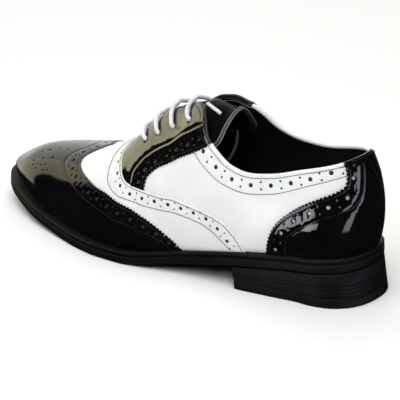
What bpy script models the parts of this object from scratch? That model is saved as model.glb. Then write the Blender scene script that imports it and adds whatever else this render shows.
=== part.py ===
"""Wing tip brogue, a left shoe, standing empty on its sole.

Metres, +X to the toe, +Y to the wearer's left (the outer side), +Z up.
The tables measure x from the back of the heel; the finished pieces are moved
so that the origin lies under the middle of the shoe, on the floor.
"""

import math

import bmesh
import bpy
import numpy as np
from mathutils import Vector
from mathutils.geometry import delaunay_2d_cdt

# Driving sizes of the sole
SOLE_BACK = 0.0025
SOLE_TIP = 0.2985
SOLE_HEEL_ROUND = 0.034
SOLE_TOE_ROUND = 0.060
HEEL_BREAST = 0.0805
BREAST_SLANT = 0.0025
BACK_FLARE = 0.0036
SIDE_FLARE = 0.0002
HEEL_MIDDLE = 0.040
LIFT_HEIGHT = 0.0055
RIB_COUNT = 4
RIB_DEPTH = 0.0005
RIB_FROM = 0.06
RIB_TO = 0.66
RIB_GROOVE_SHARE = 0.44

# Driving sizes of the last
LAST_BACK = 0.0038
LAST_TIP = 0.2912
LAST_HEEL_ROUND = 0.033
LAST_TOE_ROUND = 0.056
HEEL_SQUARENESS = 2.35
BACK_BULGE_HEIGHT = 0.052
BACK_CURVE = 6.2
BACK_REACH = 0.055
TOE_RECEDE = 0.016
TUCK_SHARE = 0.05
TUCK_END = 0.0012

# Walls, overlays and the gaps between them
GAP = 0.0003
WALL = 0.002
OVERLAY_GAP = 0.0007
VAMP_THICKNESS = 0.0008
WING_THICKNESS = 0.0014
FACING_THICKNESS = 0.0010
COUNTER_THICKNESS = 0.0012
SEAM_GAP = 0.0005
FACING_FOOT_TRIM = 4
FACING_HEAD_TRIM = 2
OVERLAY_FOOT = -0.86
INSOLE_THICKNESS = 0.0025
INSOLE_CLEAR = 0.0008
TONGUE_THICKNESS = 0.002
TONGUE_CLEAR = 0.0007
TONGUE_SINK = 0.009
TONGUE_SIDE = 0.40
TONGUE_SINK_FROM = 0.132
TONGUE_SINK_TO = 0.106

# Collar, throat and lace
COLLAR_END = 0.140
THROAT_START = 0.1100
THROAT_END = 0.1790
LACE_RADIUS = 0.0015
LACE_REST = 0.00025
LACE_DIP = 0.0018
LACE_LEAN = 0.012

# Mesh steps and counts
PANEL_STEP = 0.0064
FACING_STEP = 0.0047
GRID_MARGIN = 0.5
SOLE_POINTS = 37
HEEL_POINTS = 17
INSOLE_POINTS = 46
LACE_POINTS = 15
BISECTIONS = 40
LENGTH_TUCK = 0.018
LENGTH_SIDE = 0.050
NORMAL_RUN = 0.0004
NORMAL_GIRTH = 0.006
WELD = 0.00002
RIDGE_GIRTH = 0.9999
SHARP_ANGLE = 35

# Sections of the last: half widths at the bulge, bulge and ridge heights, roundness
LAST_COLUMNS = ("x", "outer", "inner", "centre", "bulge", "ridge", "crown", "side")
LAST_ROWS = (
    (0.0038, 0.0302, 0.0302, 0.0005, 0.0500, 0.1120, 2.00, 2.05),
    (0.035, 0.0304, 0.0299, 0.0010, 0.0480, 0.1080, 2.00, 2.75),
    (0.058, 0.0335, 0.0315, 0.0015, 0.0450, 0.1070, 2.00, 2.30),
    (0.080, 0.0363, 0.0318, 0.0022, 0.0410, 0.1090, 2.00, 2.05),
    (0.104, 0.0389, 0.0294, 0.0012, 0.0360, 0.1135, 2.00, 1.95),
    (0.124, 0.0423, 0.0287, -0.0008, 0.0320, 0.1082, 1.96, 1.90),
    (0.136, 0.0457, 0.0308, -0.0015, 0.0300, 0.0998, 1.78, 1.86),
    (0.150, 0.0480, 0.0346, -0.0015, 0.0270, 0.0945, 1.57, 1.82),
    (0.165, 0.0498, 0.0384, -0.0013, 0.0250, 0.0833, 1.57, 1.84),
    (0.180, 0.0488, 0.0407, -0.0012, 0.0240, 0.0674, 1.88, 1.88),
    (0.196, 0.0456, 0.0422, -0.0010, 0.0232, 0.0581, 2.03, 1.95),
    (0.212, 0.0421, 0.0416, -0.0015, 0.0228, 0.0521, 2.10, 2.00),
    (0.229, 0.0374, 0.0384, -0.0020, 0.0228, 0.0480, 2.15, 2.05),
    (0.250, 0.0316, 0.0321, -0.0030, 0.0235, 0.0438, 2.20, 2.10),
    (0.266, 0.0266, 0.0266, -0.0040, 0.0243, 0.0399, 2.20, 2.10),
    (0.280, 0.0225, 0.0225, -0.0054, 0.0248, 0.0332, 2.20, 2.10),
    (0.2935, 0.0195, 0.0195, -0.0068, 0.0250, 0.0274, 2.20, 2.10),
)

# Outline of the sole about the same centre line, height of its underside, thickness
SOLE_COLUMNS = ("x", "outer", "inner", "centre", "bottom", "thickness")
SOLE_ROWS = (
    (0.0025, 0.0335, 0.0335, 0.0005, 0.0228, 0.0092),
    (0.0365, 0.0334, 0.0327, 0.0010, 0.0196, 0.0092),
    (0.058, 0.0360, 0.0333, 0.0015, 0.0172, 0.0092),
    (0.080, 0.0383, 0.0332, 0.0022, 0.0142, 0.0092),
    (0.104, 0.0398, 0.0320, 0.0025, 0.0096, 0.0090),
    (0.120, 0.0425, 0.0325, 0.0018, 0.0064, 0.0089),
    (0.136, 0.0475, 0.0350, 0.0005, 0.0033, 0.0087),
    (0.150, 0.0512, 0.0395, 0.0000, 0.0009, 0.0085),
    (0.162, 0.0533, 0.0428, -0.0003, 0.0000, 0.0083),
    (0.180, 0.0536, 0.0460, -0.0006, 0.0000, 0.0083),
    (0.198, 0.0508, 0.0474, -0.0010, 0.0000, 0.0083),
    (0.212, 0.0473, 0.0466, -0.0015, 0.0005, 0.0083),
    (0.229, 0.0424, 0.0431, -0.0020, 0.0018, 0.0082),
    (0.250, 0.0364, 0.0368, -0.0030, 0.0043, 0.0080),
    (0.268, 0.0304, 0.0312, -0.0042, 0.0071, 0.0078),
    (0.285, 0.0262, 0.0268, -0.0057, 0.0100, 0.0077),
    (0.2985, 0.0230, 0.0230, -0.0075, 0.0123, 0.0076),
)

# Side of the sole from its underside up, as (share of the thickness, inset from the outline)
SOLE_SIDE_ROWS = (
    (0.00, 0.0012),
    (0.14, 0.0000),
    (0.56, 0.0000),
    (0.62, 0.0012),
    (0.70, 0.0012),
    (0.76, 0.0003),
    (0.94, 0.0003),
    (1.00, 0.0010),
)

# Top line over x: height of the outer collar, how much higher the inner one is, half the gap of the facings
COLLAR_COLUMNS = ("x", "height")
COLLAR_ROWS = (
    (0.002, 0.0930),
    (0.017, 0.0889),
    (0.035, 0.0839),
    (0.058, 0.0769),
    (0.074, 0.0747),
    (0.087, 0.0770),
    (0.098, 0.0828),
    (0.108, 0.0899),
    (0.114, 0.0982),
    (0.119, 0.1023),
    (0.124, 0.1034),
    (0.130, 0.1024),
    (0.140, 0.1018),
)
INNER_COLUMNS = ("x", "rise")
INNER_ROWS = (
    (0.020, 0.0000),
    (0.045, 0.0025),
    (0.060, 0.0052),
    (0.070, 0.0076),
    (0.090, 0.0111),
    (0.098, 0.0140),
    (0.103, 0.0140),
    (0.112, 0.0078),
    (0.120, 0.0022),
    (0.130, 0.0030),
    (0.140, 0.0015),
)
THROAT_COLUMNS = ("x", "half_gap")
THROAT_ROWS = (
    (0.118, 0.0110),
    (0.124, 0.0098),
    (0.130, 0.0086),
    (0.145, 0.0070),
    (0.160, 0.0058),
    (0.170, 0.0046),
    (0.179, 0.0028),
)

# Ends of the lace bars, as (station along the last, distance out from the middle)
LACE_ENDS = (
    (0.1587, 0.0261),
    (0.1495, 0.0250),
    (0.1388, 0.0232),
    (0.1257, 0.0229),
)

# Edges of the overlays, as (station along the last, girth: -1 at the sole, 0 bulge, 1 ridge)
WING_EDGE = (
    (0.2050, 1.00),
    (0.2078, 0.90),
    (0.2160, 0.77),
    (0.2175, 0.66),
    (0.2090, 0.52),
    (0.1985, 0.425),
    (0.1875, 0.34),
    (0.1740, 0.245),
    (0.1525, 0.11),
    (0.1400, 0.00),
    (0.1300, -0.40),
    (0.1200, OVERLAY_FOOT),
)
VAMP_EDGE = (
    (0.1815, 1.00),
    (0.1808, 0.80),
    (0.1755, 0.56),
    (0.1700, 0.45),
    (0.1640, 0.355),
    (0.1535, 0.27),
    (0.1350, 0.183),
    (0.1187, 0.118),
    (0.1057, 0.070),
    (0.0945, 0.010),
    (0.0850, -0.32),
    (0.0775, OVERLAY_FOOT),
)
FACING_EDGE = (
    (0.1480, 0.270),
    (0.1478, 0.340),
    (0.1452, 0.372),
    (0.1394, 0.390),
    (0.1320, 0.390),
    (0.1240, 0.388),
    (0.1138, 0.419),
    (0.1055, 0.446),
)
COUNTER_EDGE = (
    (0.0585, OVERLAY_FOOT),
    (0.0575, -0.60),
    (0.0547, -0.16),
    (0.0497, 0.040),
    (0.0432, 0.096),
    (0.0340, 0.158),
    (0.0236, 0.214),
    (0.0141, 0.255),
    (0.0098, 0.287),
    (0.0088, 0.330),
    (0.0086, 0.380),
    (0.0092, 0.435),
)
TONGUE_EDGE = (
    (0.1900, 1.00),
    (0.1890, 0.86),
    (0.1820, 0.72),
    (0.1650, 0.61),
    (0.1450, 0.54),
    (0.1250, 0.47),
    (0.1100, 0.42),
    (0.1050, 0.46),
    (0.1035, 0.60),
    (0.1030, 0.80),
    (0.1030, 1.00),
)

OUTER = 1.0
INNER = -1.0


def level_slopes(xs, ys):
    """Slopes for a curve that never overshoots its points."""
    rise = np.diff(ys) / np.diff(xs)
    both = rise[:-1] * rise[1:]
    total = rise[:-1] + rise[1:]
    inner = np.where(both > 0, 2 * both / np.where(total == 0, 1, total), 0)
    return np.concatenate([rise[:1], inner, rise[-1:]])


def round_slopes(xs, ys):
    """Slopes for a curve that rounds its turns."""
    return np.gradient(ys, xs)


def smooth_curve(xs, ys, slopes_of=level_slopes):
    """A curve through the given points, with slopes from slopes_of."""
    xs = np.asarray(xs, float)
    ys = np.asarray(ys, float)
    slopes = slopes_of(xs, ys)

    def value(x):
        x = np.asarray(x, float)
        i = np.clip(np.searchsorted(xs, x) - 1, 0, len(xs) - 2)
        step = xs[i + 1] - xs[i]
        t = np.clip((x - xs[i]) / step, 0, 1)
        near = (1 + 2 * t) * (1 - t) ** 2 * ys[i] + t * t * (3 - 2 * t) * ys[i + 1]
        return near + step * t * (1 - t) * ((1 - t) * slopes[i] - t * slopes[i + 1])

    return value


def columns(names, rows):
    """One smooth curve for each column of a table, over its first column."""
    values = np.array(rows)
    return {name: smooth_curve(values[:, 0], values[:, k]) for k, name in enumerate(names) if k}


last = columns(LAST_COLUMNS, LAST_ROWS)
sole = columns(SOLE_COLUMNS, SOLE_ROWS)
collar_height = columns(COLLAR_COLUMNS, COLLAR_ROWS)["height"]
inner_rise = columns(INNER_COLUMNS, INNER_ROWS)["rise"]
throat_gap = columns(THROAT_COLUMNS, THROAT_ROWS)["half_gap"]


def end_closing(x, back, heel_round, tip, toe_round):
    """Share of the half width that is left near the round ends of an outline."""
    heel = np.clip((back + heel_round - x) / heel_round, 0, 1)
    toe = np.clip((x - tip + toe_round) / toe_round, 0, 1)
    round_heel = (1 - heel ** HEEL_SQUARENESS) ** (1 / HEEL_SQUARENESS)
    return round_heel * np.sqrt(np.clip(1 - toe ** 3, 0, 1))


def sole_top(x):
    return sole["bottom"](x) + sole["thickness"](x)


def last_point(s, g, side):
    """Point on the last at station s and girth g, on the outer or inner side."""
    s, g = np.broadcast_arrays(np.asarray(s, float), np.asarray(g, float))
    half = np.where(np.asarray(side) > 0, last["outer"](s), last["inner"](s))
    half = half * end_closing(s, LAST_BACK, LAST_HEEL_ROUND, LAST_TIP, LAST_TOE_ROUND)
    angle = np.clip(g, 0, 1) * math.pi / 2
    down = np.clip(-g, 0, 1)
    toe = np.clip((s - LAST_TIP + LAST_TOE_ROUND) / LAST_TOE_ROUND, 0, 1) ** 2
    heel = np.clip(1 - (s - LAST_BACK) / BACK_REACH, 0, 1) ** 2
    x = s - toe * (TOE_RECEDE * (1 - np.cos(angle)) + TUCK_END * down ** 2)
    bulge = last["bulge"](s)
    feather = sole_top(x) + GAP
    above = bulge + (last["ridge"](x) - bulge) * np.sin(angle) ** (2 / last["crown"](s))
    z = np.where(g >= 0, above, bulge - (bulge - feather) * down)
    lean = np.clip(np.cos(angle), 0, 1) ** (2 / last["side"](s))
    y = last["centre"](s) + side * half * np.where(g >= 0, lean, 1 - TUCK_SHARE * down ** 2)
    x = x + BACK_CURVE * (z - BACK_BULGE_HEIGHT) ** 2 * heel
    return np.stack([x, y, z], axis=-1)


def run_of_stations(count=3000):
    """Stations against the distance walked along the outer bulge line."""
    turn = np.linspace(0, math.pi, count)
    s = LAST_BACK + (LAST_TIP - LAST_BACK) * (1 - np.cos(turn)) / 2
    path = last_point(s, np.zeros(count), OUTER)
    steps = np.linalg.norm(np.diff(path, axis=0), axis=1)
    return s, np.concatenate([[0], np.cumsum(steps)])


STATIONS, RUNS = run_of_stations()
FULL_RUN = RUNS[-1]


def run_at(s):
    return np.interp(s, STATIONS, RUNS)


def station_at(run):
    return np.interp(run, RUNS, STATIONS)


def girth_to_length(g):
    g = np.asarray(g, float)
    return np.where(g < 0, g * LENGTH_TUCK, g * LENGTH_SIDE)


def length_to_girth(v):
    v = np.asarray(v, float)
    g = np.where(v < 0, v / LENGTH_TUCK, v / LENGTH_SIDE)
    return np.where(g > RIDGE_GIRTH, 1.0, g)


def last_normal(run, g, side):
    """Outward normal of the last, level across its ridge and its two ends."""
    run_a = np.clip(run - NORMAL_RUN, 0, FULL_RUN)
    run_b = np.clip(run + NORMAL_RUN, 0, FULL_RUN)
    g_a = np.clip(g - NORMAL_GIRTH, -1, 1)
    g_b = np.clip(g + NORMAL_GIRTH, -1, 1)
    along = last_point(station_at(run_b), g, side) - last_point(station_at(run_a), g, side)
    around = last_point(station_at(run), g_b, side) - last_point(station_at(run), g_a, side)
    normal = np.cross(along, around) * side * -1.0
    level = np.zeros_like(along[..., 0])
    over_ridge = np.stack([-along[..., 2], level, along[..., 0]], axis=-1)
    off_toe = np.stack([around[..., 2], level, -around[..., 0]], axis=-1)
    normal = np.where((g > RIDGE_GIRTH)[..., None], over_ridge, normal)
    normal = np.where((run >= FULL_RUN - WELD)[..., None], off_toe, normal)
    normal = np.where((run <= WELD)[..., None], -off_toe, normal)
    return normal / np.linalg.norm(normal, axis=-1, keepdims=True)


def lifted_point(run, g, side, lift):
    """Point of the last moved out along its normal by lift."""
    return last_point(station_at(run), g, side) + last_normal(run, g, side) * np.asarray(lift)[..., None]


def solve_girth(s, side, is_below):
    """Highest girth at each station for which is_below still holds."""
    low = np.zeros_like(s)
    high = np.ones_like(s)
    for _ in range(BISECTIONS):
        middle = (low + high) / 2
        below = is_below(last_point(s, middle, side))
        low = np.where(below, middle, low)
        high = np.where(below, high, middle)
    return low


def top_line(s, side):
    """Girth of the collar and throat edge at each station."""

    def under_edge(point):
        x = point[..., 0]
        rise = inner_rise(x) * (side < 0)
        in_throat = (x > THROAT_START) & (x < THROAT_END)
        open_half = np.where(in_throat, throat_gap(x), -1.0)
        across = np.abs(point[..., 1] - last["centre"](x))
        collar = np.where(x < COLLAR_END, collar_height(x) + rise, 1.0)
        return (point[..., 2] < collar) & (across > open_half)

    return solve_girth(s, side, under_edge)


def edge_curve(rows, samples=160):
    """Smooth curve through the rows of an edge table, as runs and lengths."""
    stations, girths = np.array(rows).T
    flat = np.stack([run_at(stations), girth_to_length(girths)], axis=1)
    steps = np.linalg.norm(np.diff(flat, axis=0), axis=1)
    walk = np.concatenate([[0], np.cumsum(steps)])
    t = np.linspace(0, walk[-1], samples)
    runs = smooth_curve(walk, flat[:, 0], round_slopes)(t)
    lengths = smooth_curve(walk, flat[:, 1], round_slopes)(t)
    return np.stack([runs, np.minimum(lengths, girth_to_length(1.0))], axis=1)


def shifted_back(line):
    """An edge that runs down from the ridge, moved towards the heel by the seam gap."""
    ahead = np.gradient(line, axis=0)
    normal = np.stack([ahead[:, 1], -ahead[:, 0]], axis=1)
    moved = line + normal / np.linalg.norm(normal, axis=1, keepdims=True) * SEAM_GAP
    moved[0, 1] = line[0, 1]
    moved[-1, 1] = line[-1, 1]
    return moved


def level_line(run_from, run_to, g, samples=200):
    """Line of constant girth between two runs."""
    runs = np.linspace(run_from, run_to, samples)
    return np.stack([runs, girth_to_length(np.full(samples, g))], axis=1)


def upright_line(run, g_from, g_to, samples=60):
    """Line of constant run between two girths."""
    lengths = np.linspace(girth_to_length(g_from), girth_to_length(g_to), samples)
    return np.stack([np.full(samples, run), lengths], axis=1)


def collar_line(s_from, s_to, side, samples=400):
    """The top line between two stations."""
    runs = np.linspace(run_at(s_from), run_at(s_to), samples)
    return np.stack([runs, girth_to_length(top_line(station_at(runs), side))], axis=1)


def resample(line, step):
    """Evenly spaced points along a line, without its last point."""
    lengths = np.linalg.norm(np.diff(line, axis=0), axis=1)
    walk = np.concatenate([[0], np.cumsum(lengths)])
    count = max(1, round(walk[-1] / step))
    t = np.linspace(0, walk[-1], count + 1)[:-1]
    return np.stack([np.interp(t, walk, line[:, 0]), np.interp(t, walk, line[:, 1])], axis=1)


def inside_outline(points, outline, margin):
    """Which points lie inside a closed outline and clear of it by margin."""
    start = outline
    end = np.roll(outline, -1, axis=0)
    span = end - start
    keep = []
    for p in points:
        crosses = (start[:, 1] > p[1]) != (end[:, 1] > p[1])
        rise = np.where(crosses, span[:, 1], 1)
        at = start[:, 0] + (p[1] - start[:, 1]) / rise * span[:, 0]
        inside = np.count_nonzero(crosses & (at > p[0])) % 2 == 1
        share = np.clip(((p - start) * span).sum(1) / np.maximum((span ** 2).sum(1), 1e-18), 0, 1)
        away = np.linalg.norm(start + span * share[:, None] - p, axis=1).min()
        keep.append(inside and away > margin)
    return np.array(keep, bool)


def half_panel(lines, side, step, lift):
    """Triangles of one side of a panel whose outline is the given lines in order.

    A triangle with all corners on the seam to the other side would lie flat, so it is left out.
    """
    outline = np.concatenate([resample(line, step) for line in lines])
    low = outline.min(axis=0)
    high = outline.max(axis=0)
    runs = np.arange(low[0], high[0], step) + step / 2
    lengths = np.arange(low[1], high[1], step) + step / 2
    grid = np.array([(r, v) for r in runs for v in lengths])
    grid = grid[inside_outline(grid, outline, step * GRID_MARGIN)]
    flat = [Vector(p) for p in np.concatenate([outline, grid])]
    ring = list(range(len(outline)))
    flat, _, faces, _, _, _ = delaunay_2d_cdt(flat, [], [ring], 1, 1e-7)
    run = np.array([p.x for p in flat])
    girth = length_to_girth(np.array([p.y for p in flat]))
    lifts = lift(station_at(run), girth) if callable(lift) else np.full(len(run), lift)
    points = lifted_point(run, girth, side, lifts)
    on_seam = (girth > RIDGE_GIRTH) | (run > FULL_RUN - WELD) | (run < WELD)
    order = -1 if side > 0 else 1
    return points, [tuple(face)[::order] for face in faces if not on_seam[list(face)].all()]


def make_object(name, points, faces, material, collection):
    mesh = bpy.data.meshes.new(name)
    mesh.from_pydata([tuple(p) for p in points], [], faces)
    mesh.materials.append(material)
    obj = bpy.data.objects.new(name, mesh)
    collection.objects.link(obj)
    return obj


def weld_and_smooth(obj, turn_out=True):
    """Join points that coincide, shade smooth and keep hard edges hard."""
    bm = bmesh.new()
    bm.from_mesh(obj.data)
    bmesh.ops.remove_doubles(bm, verts=bm.verts, dist=WELD)
    bmesh.ops.dissolve_degenerate(bm, edges=bm.edges, dist=WELD)
    if turn_out:
        bmesh.ops.recalc_face_normals(bm, faces=bm.faces)
    bm.to_mesh(obj.data)
    bm.free()
    obj.data.shade_smooth()
    obj.data.set_sharp_from_angle(angle=math.radians(SHARP_ANGLE))


def make_panel(name, halves, thickness, outward, material, collection):
    """A shell of even thickness from one or two half panels."""
    points = np.concatenate([half[0] for half in halves])
    faces = []
    shift = 0
    for half_points, half_faces in halves:
        faces += [tuple(i + shift for i in face) for face in half_faces]
        shift += len(half_points)
    obj = make_object(name, points, faces, material, collection)
    weld_and_smooth(obj, turn_out=False)
    shell = obj.modifiers.new("wall", "SOLIDIFY")
    shell.thickness = thickness
    shell.offset = 1.0 if outward else -1.0
    shell.use_even_offset = True
    shell.use_quality_normals = True
    return obj


def plan_outline(point_at, count):
    """Closed outline seen from above: outer side to the toe, inner side back."""
    fine = (1 - np.cos(np.linspace(0, math.pi, 2000))) / 2
    walk = np.linalg.norm(np.diff(point_at(fine, OUTER), axis=0), axis=1)
    walk = np.concatenate([[0], np.cumsum(walk)])
    even = np.linspace(0, 1, count)
    mark = (even + (1 - np.cos(math.pi * even)) / 2) / 2
    share = np.interp(mark * walk[-1], walk, fine)
    outer = point_at(share, OUTER)
    inner = point_at(share, INNER)
    return outer, inner


def inset_pair(outer, inner, inset):
    """Move both sides of an outline in along their normals in plan."""
    loop = np.concatenate([outer, inner[-2:0:-1]])
    ahead = np.roll(loop, -1, axis=0) - np.roll(loop, 1, axis=0)
    normal = np.stack([-ahead[:, 1], ahead[:, 0]], axis=1)
    normal /= np.linalg.norm(normal, axis=1, keepdims=True)
    moved = loop + normal * inset * -1.0
    count = len(outer)
    return moved[:count], np.concatenate([moved[:1], moved[:count - 2:-1]])[:count]


def stacked_solid(name, levels, material, collection, closed_ends=True):
    """Solid from a stack of outlines; each level holds its outer and inner points."""
    count = len(levels[0][0])
    points = []
    for outer, inner in levels:
        points += list(outer) + list(inner)
    width = 2 * count
    faces = []
    for k in range(len(levels) - 1):
        low = k * width
        high = low + width
        for i in range(count - 1):
            faces.append((low + i, high + i, high + i + 1, low + i + 1))
            a = count + i
            faces.append((low + a + 1, high + a + 1, high + a, low + a))
        if not closed_ends:
            last_i = count - 1
            faces.append((low + last_i, high + last_i, high + count + last_i, low + count + last_i))
    top = (len(levels) - 1) * width
    for i in range(count - 1):
        faces.append((i, i + 1, count + i + 1, count + i))
        faces.append((top + i, top + count + i, top + count + i + 1, top + i + 1))
    obj = make_object(name, points, faces, material, collection)
    weld_and_smooth(obj)
    return obj


def with_height(pair, height):
    """Give each plan point of an outline pair its height."""
    return tuple(np.column_stack([p, height(p[:, 0])]) for p in pair)


def sole_plan(share, side, x_to=SOLE_TIP):
    x = SOLE_BACK + (x_to - SOLE_BACK) * share
    half = sole["outer"](x) if side > 0 else sole["inner"](x)
    half = half * end_closing(x, SOLE_BACK, SOLE_HEEL_ROUND, SOLE_TIP, SOLE_TOE_ROUND)
    return np.stack([x, sole["centre"](x) + side * half], axis=1)


def make_outsole(material, collection):
    outer, inner = plan_outline(sole_plan, SOLE_POINTS)
    levels = []
    for share, inset in SOLE_SIDE_ROWS:
        pair = inset_pair(outer, inner, inset)
        levels.append(with_height(pair, lambda x, k=share: sole["bottom"](x) + k * sole["thickness"](x)))
    return stacked_solid("outsole", levels, material, collection)


def heel_outline():
    """Outline of the heel from its back to the breast."""
    turn = np.linspace(0, math.pi / 2, HEEL_POINTS)
    share = 1 - np.cos(turn)
    return sole_plan(share, OUTER, HEEL_BREAST), sole_plan(share, INNER, HEEL_BREAST)


def heel_level(outer, inner, height_share, groove):
    """Heel outline at a share of its height, flared to the floor and grooved."""
    loop = np.concatenate([outer[::-1], inner[1:]])
    ahead = np.gradient(loop, axis=0)
    normal = np.stack([ahead[:, 1], -ahead[:, 0]], axis=1)
    normal /= np.linalg.norm(normal, axis=1, keepdims=True)
    flare = SIDE_FLARE + (BACK_FLARE - SIDE_FLARE) * np.clip(-normal[:, 0], 0, 1)
    moved = loop + normal * (flare * (1 - height_share) - groove)[:, None]
    slant = BREAST_SLANT * (1 - height_share)
    moved[:, 0] -= slant * np.clip(loop[:, 0] / HEEL_BREAST, 0, 1) ** 2
    moved[0, 0] = HEEL_BREAST - slant
    moved[-1, 0] = HEEL_BREAST - slant
    count = len(outer)
    return moved[:count][::-1], moved[count - 1:]


def heel_top(x):
    return sole["bottom"](x) - GAP


def make_heel_lift(material, collection):
    outer, inner = heel_outline()
    levels = []
    for height in (0.0, LIFT_HEIGHT):
        pair = heel_level(outer, inner, height / float(heel_top(HEEL_MIDDLE)), 0.0)
        levels.append(with_height(pair, lambda x, h=height: np.full(len(x), h)))
    return stacked_solid("heel_lift", levels, material, collection, closed_ends=False)


def make_heel_block(material, collection):
    """Heel with fine grooves around its middle and a plain band above them."""
    outer, inner = heel_outline()
    foot = LIFT_HEIGHT + GAP
    foot_share = foot / float(heel_top(HEEL_MIDDLE))
    pitch = (RIB_TO - RIB_FROM) / RIB_COUNT
    groove = RIB_GROOVE_SHARE * pitch
    marks = [(0.0, 0.0)]
    for k in range(RIB_COUNT):
        base = RIB_FROM + k * pitch
        marks += [(base, 0.0), (base + groove / 2, RIB_DEPTH), (base + groove, 0.0)]
    marks.append((1.0, 0.0))
    levels = []
    for mark, depth in marks:
        pair = heel_level(outer, inner, foot_share + (1 - foot_share) * mark, depth)
        levels.append(with_height(pair, lambda x, m=mark: foot + m * (heel_top(x) - foot)))
    return stacked_solid("heel_block", levels, material, collection, closed_ends=False)


def make_insole(material, collection):
    def feather(share, side):
        run = FULL_RUN * share
        return last_point(station_at(run), np.full(len(run), -1.0), side)[:, :2]

    share = np.linspace(0, 1, INSOLE_POINTS)
    pair = inset_pair(feather(share, OUTER), feather(share, INNER), WALL + INSOLE_CLEAR)
    levels = []
    for rise in (GAP, GAP + INSOLE_THICKNESS):
        levels.append(with_height(pair, lambda x, r=rise: sole_top(x) + r))
    return stacked_solid("insole", levels, material, collection)


def make_upper(material, collection):
    halves = []
    for side in (OUTER, INNER):
        lines = [
            level_line(0, FULL_RUN, -1.0),
            upright_line(FULL_RUN, -1.0, 1.0),
            level_line(FULL_RUN, run_at(THROAT_END), 1.0),
            collar_line(THROAT_END, LAST_BACK, side),
            upright_line(0, float(top_line(np.array([LAST_BACK]), side)[0]), -1.0),
        ]
        halves.append(half_panel(lines, side, PANEL_STEP, 0.0))
    return make_panel("upper", halves, WALL, False, material, collection)


def make_wing(material, collection):
    halves = []
    edge = edge_curve(WING_EDGE)
    for side in (OUTER, INNER):
        lines = [
            edge,
            level_line(edge[-1, 0], FULL_RUN, OVERLAY_FOOT),
            upright_line(FULL_RUN, OVERLAY_FOOT, 1.0),
            level_line(FULL_RUN, edge[0, 0], 1.0),
        ]
        halves.append(half_panel(lines, side, PANEL_STEP, OVERLAY_GAP))
    return make_panel("wing_tip", halves, WING_THICKNESS, True, material, collection)


def make_vamp(material, collection):
    halves = []
    front = shifted_back(edge_curve(WING_EDGE))
    back = edge_curve(VAMP_EDGE)
    for side in (OUTER, INNER):
        lines = [
            back,
            level_line(back[-1, 0], front[-1, 0], OVERLAY_FOOT),
            front[::-1],
            level_line(front[0, 0], back[0, 0], 1.0),
        ]
        halves.append(half_panel(lines, side, PANEL_STEP, OVERLAY_GAP))
    return make_panel("vamp", halves, VAMP_THICKNESS, True, material, collection)


def make_facing(name, side, material, collection):
    """Facing between its swept lower edge, the vamp edge, the throat and the collar."""
    low = edge_curve(FACING_EDGE)[FACING_FOOT_TRIM:]
    front = shifted_back(edge_curve(VAMP_EDGE))
    top = collar_line(THROAT_END - 2 * SEAM_GAP, station_at(low[-1, 0]), side)
    top[:, 1] -= SEAM_GAP
    head = int(np.argmin(np.abs(front[:, 1] - top[0, 1]))) + FACING_HEAD_TRIM
    foot = int(np.argmin(np.linalg.norm(front - low[0], axis=1)))
    lines = [
        low,
        np.array([low[-1], top[-1]]),
        top[::-1],
        np.array([top[0], front[head]]),
        front[head:foot],
        np.array([front[foot], low[0]]),
    ]
    half = half_panel(lines, side, FACING_STEP, OVERLAY_GAP)
    return make_panel(name, [half], FACING_THICKNESS, True, material, collection)


def make_counter(material, collection):
    halves = []
    edge = edge_curve(COUNTER_EDGE)
    for side in (OUTER, INNER):
        top = collar_line(station_at(edge[-1, 0]), LAST_BACK, side)
        top[:, 1] -= SEAM_GAP
        lines = [
            level_line(0, edge[0, 0], OVERLAY_FOOT),
            edge[:-2],
            top,
            upright_line(0, float(length_to_girth(top[-1, 1])), OVERLAY_FOOT),
        ]
        halves.append(half_panel(lines, side, PANEL_STEP, OVERLAY_GAP))
    return make_panel("heel_counter", halves, COUNTER_THICKNESS, True, material, collection)


def tongue_lift(s, g):
    """Depth of the tongue under the last: below the wall, lower still at its top."""
    share = np.clip((TONGUE_SINK_FROM - s) / (TONGUE_SINK_FROM - TONGUE_SINK_TO), 0, 1)
    middle = np.clip((g - TONGUE_SIDE) / (1 - TONGUE_SIDE), 0, 1)
    return -(WALL + TONGUE_CLEAR) - TONGUE_SINK * share * share * (3 - 2 * share) * np.sqrt(middle)


def make_tongue(material, collection):
    halves = []
    edge = edge_curve(TONGUE_EDGE)
    for side in (OUTER, INNER):
        lines = [edge, level_line(edge[-1, 0], edge[0, 0], 1.0)]
        halves.append(half_panel(lines, side, PANEL_STEP, tongue_lift))
    return make_panel("tongue", halves, TONGUE_THICKNESS, False, material, collection)


def lace_route(station, half_span):
    """Points of one lace bar from its outer to its inner end, over the facings and flat between them."""
    lift = OVERLAY_GAP + FACING_THICKNESS + GAP + LACE_RADIUS + LACE_REST
    gap = float(throat_gap(station + LACE_LEAN))
    route = []
    for share in np.linspace(-1, 1, LACE_POINTS):
        side = OUTER if share < 0 else INNER
        reach = abs(share) * half_span

        def is_outside(point):
            return np.abs(point[..., 1] - last["centre"](point[..., 0])) > reach

        place = np.array([station + LACE_LEAN * (1 - share * share)])
        girth = solve_girth(place, side, is_outside)
        rise = lift - LACE_DIP * max(0.0, 1 - (reach / gap) ** 2)
        route.append(lifted_point(run_at(place), girth, side, np.array([rise]))[0])
    return route


def make_lace_bar(name, station, half_span, material, collection):
    curve = bpy.data.curves.new(name, "CURVE")
    curve.dimensions = "3D"
    curve.bevel_depth = LACE_RADIUS
    curve.bevel_resolution = 2
    curve.use_fill_caps = True
    route = lace_route(station, half_span)
    spline = curve.splines.new("POLY")
    spline.points.add(len(route) - 1)
    for point, place in zip(spline.points, route):
        point.co = (*place, 1.0)
    curve.materials.append(material)
    obj = bpy.data.objects.new(name, curve)
    collection.objects.link(obj)
    return obj


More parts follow.
